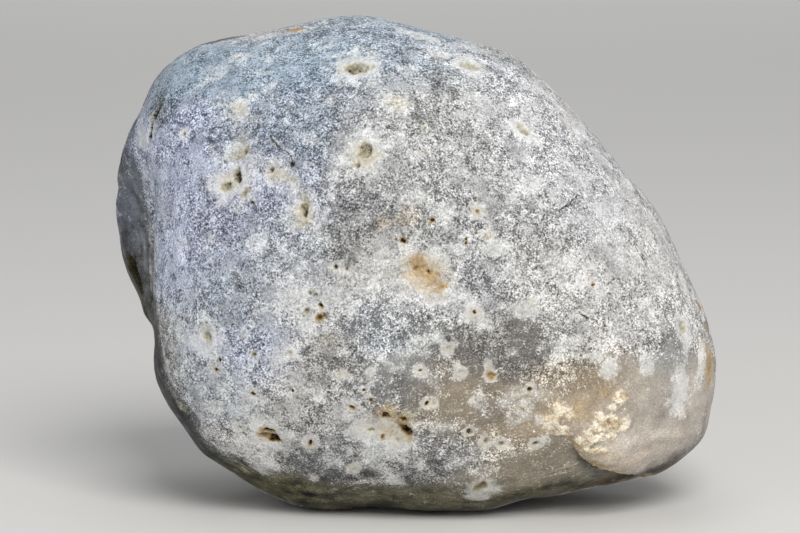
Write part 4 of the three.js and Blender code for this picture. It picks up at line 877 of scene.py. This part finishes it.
# The frost. Pale grains cover as much of the skin as its mark says, with darker stone between them.
frosted = mark("frost")
cloudy = speckle(CLOUD_SIZE, 4, 0.9, 0.3)
fine = speckle(GRAIN_SIZE, 1, 0.5, 0.5)
winding = maths("ABSOLUTE", weighed(0.0, (speckle(CURL_SIZE, 2, 0.6, 1.5), 1.0, 0.5)))
threads = maths("SUBTRACT", 1.0, ramp(winding, 0.0, 0.022))
dotty = weighed(speckle(DOT_SIZE, 2, 0.7, 0.6), (cloudy, 0.2, 0.5))
dots = maths("SUBTRACT", 1.0, ramp(dotty, 0.32, 0.43))
etched = ramp(frosted, 0.04, 0.42)
chalked = weighed(mark("chalk"), (mark("dish"), 0.3, 0.0))
whitened = ramp(weighed(chalked, (cloudy, 0.9, 0.5), (fine, 0.4, 0.5)), 0.08, 0.78)
touched = ramp(frosted, 0.0, 0.12)
cover = weighed(frosted, (whitened, 0.35, 0.0), (etched, 1.1, 1.0), (touched, 0.8, 1.0))
grains = weighed(0.0, (cloudy, 0.75, 0.5), (fine, 0.65, 0.5), (cover, 0.16, 0.5))
salt = ramp(grains, -0.16, 0.16)
squared = maths("MULTIPLY", frosted, frosted)
lift = maths("MAXIMUM", weighed(1.0, (frosted, 4.0, 0.0), (squared, -6.2, 0.0)), 0.3)
gain = weighed(1.0, (maths("MULTIPLY", lift, maths("SUBTRACT", salt, frosted)), 1.0, 0.0))
white = maths("MULTIPLY", maths("MULTIPLY", threads, etched), weighed(0.9, (frosted, -0.5, 0.0)))
gain = maths("ADD", gain, white)
black = maths("MULTIPLY", maths("MULTIPLY", dots, etched), weighed(0.95, (frosted, -0.45, 0.0)))
gain = maths("MULTIPLY", gain, maths("SUBTRACT", 1.0, black))

# Where the stone is clear it has strands, more of them where it is dark.
drawn = node(surface, "ShaderNodeVectorMath", {0: places, 1: STRAND_STRETCH}, operation="MULTIPLY").outputs[0]
strands = speckle(STRAND_SIZE, 2, 0.6, 0.8, drawn)
clear = maths("SUBTRACT", 1.0, etched)
fibres = weighed(0.0, (fine, 0.8, 0.5), (cloudy, 0.5, 0.5))
threaded = maths("MULTIPLY", weighed(0.0, (strands, 1.2, 0.5), (fine, 0.5, 0.5)), clear)
darkest = maths("SUBTRACT", 1.0, ramp(mark("tone"), 0.05, 0.3))
fibres = weighed(fibres, (maths("MULTIPLY", threaded, weighed(0.35, (darkest, 2.2, 0.0))), 1.0, 0.0))
fibres = weighed(fibres, (maths("MULTIPLY", darkest, maths("SUBTRACT", cloudy, 0.5)), 1.6, 0.0))
gain = maths("MULTIPLY", gain, maths("EXPONENT", fibres))
body = mark("tone", "Color")
colour = scaled(body, maths("MAXIMUM", gain, 0.15))
plainer = maths("MULTIPLY", salt, weighed(0.9, (etched, -0.45, 0.0)))
paler = {"Color": colour, "Saturation": maths("SUBTRACT", 1.1, plainer)}
colour = node(surface, "ShaderNodeHueSaturation", paler).outputs["Color"]

# The chalk, and over it the crusts.
calm = weighed(1.0, (mark("chalk"), -0.6, 0.0))
mottle = weighed(0.0, (cloudy, 2.2, 0.5), (fine, 1.4, 0.5), (dots, -0.35, 0.0))
mottle = maths("EXPONENT", maths("MULTIPLY", mottle, calm))
chalky = scaled(raised(scaled(body, 0.4), CHALK_COLOUR), mottle)
colour = blended(maths("MULTIPLY", whitened, 0.92), colour, chalky)
uneven = speckle(GRIT_SIZE, 4, 0.8)
crusty = ramp(weighed(mark("crust"), (uneven, 1.2, 0.5)), 0.2, 0.8)
lumps = blended(ramp(speckle(LUMP_SIZE, 4, 0.6), 0.46, 0.7), CRUST_CREAM, CRUST_TAN)
colour = blended(crusty, colour, scaled(lumps, mottle))

# The rims and the stains, with a browner core where they are strong, and what fills the pits.
streaky = maths("EXPONENT", weighed(0.0, (uneven, 6.0, 0.5), (fine, 1.6, 0.5)))
grit = maths("EXPONENT", weighed(0.0, (uneven, 6.0, 0.5), (fine, 2.8, 0.5), (dots, -0.5, 0.0)))
grit = maths("MINIMUM", grit, GRIT_LIMIT)
rusty = maths("MULTIPLY", mark("rust"), maths("SQRT", streaky))
stained = scaled(mark("brim", "Color"), mottle)
colour = blended(maths("MULTIPLY", ramp(rusty, 0.08, 0.85), 0.92), colour, stained)
colour = blended(ramp(rusty, 0.65, 1.4), colour, scaled(RUST_CORE, mottle))
sunken = maths("MULTIPLY", mark("umber"), streaky)
colour = blended(ramp(sunken, 0.02, 0.55), colour, scaled(mark("filling", "Color"), grit))
colour = blended(ramp(sunken, 0.4, 0.9), colour, PIT_BLACK)
surface.links.new(colour, shader.inputs["Base Color"])

# The frost is dull and the clear stone glossier, and a bump stands for grains too small for the mesh. A
# little light scatters under the skin, but not in the open pits.
roughness = maths("MULTIPLY_ADD", ramp(frosted, 0.0, 0.4), 0.3, 0.42)
surface.links.new(roughness, shader.inputs["Roughness"])
bumps = maths("MULTIPLY", speckle(BUMP_SIZE, 3, 0.7), maths("MULTIPLY_ADD", frosted, 1.0, 0.12))
bump = node(surface, "ShaderNodeBump", {"Strength": 0.7, "Distance": BUMP_HEIGHT * MM, "Height": bumps})
surface.links.new(bump.outputs["Normal"], shader.inputs["Normal"])
open_stone = maths("SUBTRACT", 1.0, ramp(sunken, 0.05, 0.3))
surface.links.new(maths("MULTIPLY", open_stone, 0.12), shader.inputs["Subsurface Weight"])
surface.links.new(maths("MULTIPLY_ADD", open_stone, 0.1, 0.05), shader.inputs["Specular IOR Level"])
shader.inputs["Subsurface Radius"].default_value = SCATTER_COLOURS
shader.inputs["Subsurface Scale"].default_value = SCATTER_DEPTH * MM
shader.inputs["IOR"].default_value = REFRACTION

# The etched skin. Low dishes are scattered over the whole stone, a little whiter than what lies between them,
# and a fine grain roughens it. One tree of Geometry Nodes makes both, with its sizes as named inputs.
SKIN_INPUTS = {
    "Spacing": ("NodeSocketFloat", 1.9 * MM), "Reach": ("NodeSocketFloat", 0.9 * MM),
    "Depth": ("NodeSocketFloat", 0.07 * MM), "Grain": ("NodeSocketFloat", 1.3 * MM),
    "Grain Depth": ("NodeSocketFloat", 0.12 * MM), "Density": ("NodeSocketFloat", 4e5),
    "Seed": ("NodeSocketInt", 7), "Material": ("NodeSocketMaterial", chalcedony),
}
skin = bpy.data.node_groups.new("etched skin", "GeometryNodeTree")
skin.interface.new_socket("Geometry", in_out="INPUT", socket_type="NodeSocketGeometry")
sockets = {}
for name, (kind, value) in SKIN_INPUTS.items():
    sockets[name] = skin.interface.new_socket(name, in_out="INPUT", socket_type=kind).identifier
skin.interface.new_socket("Geometry", in_out="OUTPUT", socket_type="NodeSocketGeometry")
given = node(skin, "NodeGroupInput").outputs

scatter = {"Mesh": given["Geometry"], "Distance Min": given["Spacing"]}
scatter.update({"Density Max": given["Density"], "Seed": given["Seed"]})
middles = node(skin, "GeometryNodeDistributePointsOnFaces", scatter, distribute_method="POISSON")
nearest = node(skin, "GeometryNodeProximity", target_element="POINTS")
skin.links.new(middles.outputs["Points"], nearest.inputs[0])
fall = {"Value": nearest.outputs["Distance"], "From Max": given["Reach"], "To Min": 1.0, "To Max": 0.0}
bowl = node(skin, "ShaderNodeMapRange", fall, interpolation_type="SMOOTHSTEP").outputs[0]
fineness = maths("DIVIDE", 1.0, given["Grain"], graph=skin)
rough = node(skin, "ShaderNodeTexNoise", {"Scale": fineness, "Detail": 2.0}).outputs["Fac"]
centred = maths("SUBTRACT", rough, 0.5, graph=skin)
grain = maths("MULTIPLY", centred, given["Grain Depth"], graph=skin)
hollow = maths("MULTIPLY", bowl, given["Depth"], graph=skin)
lifted = maths("SUBTRACT", grain, hollow, graph=skin)
outward = node(skin, "GeometryNodeInputNormal").outputs["Normal"]
offset = node(skin, "ShaderNodeVectorMath", {0: outward, "Scale": lifted}, operation="SCALE").outputs[0]
moved = node(skin, "GeometryNodeSetPosition", {"Geometry": given["Geometry"], "Offset": offset}).outputs[0]
dish_mark = {"Geometry": moved, "Name": "dish", "Value": bowl}
dished = node(skin, "GeometryNodeStoreNamedAttribute", dish_mark, domain="POINT").outputs[0]
coat = {"Geometry": dished, "Material": given["Material"]}
painted = node(skin, "GeometryNodeSetMaterial", coat).outputs[0]
whole = node(skin, "GeometryNodeRealizeInstances", {"Geometry": painted}).outputs[0]
skin.links.new(whole, node(skin, "NodeGroupOutput").inputs["Geometry"])

etching = nodule.modifiers.new("etched skin", "NODES")
etching.node_group = skin
for name, (kind, value) in SKIN_INPUTS.items():
    etching[sockets[name]] = value
nodule.data = as_mesh(nodule, "waterline_agate")
nodule.modifiers.clear()

# The flat place that the stone rests on. Nothing of the skin goes below the floor. The finished stone stands
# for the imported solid, as one piece on the root body.
finished = read(nodule.data.vertices, "co", 3)
finished[:, 2] = np.maximum(finished[:, 2], 0)
nodule.data.vertices.foreach_set("co", finished.ravel())
nodule.data.update()
nodule.data.shade_smooth()
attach(nodule, "root")
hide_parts("agate_nodule")
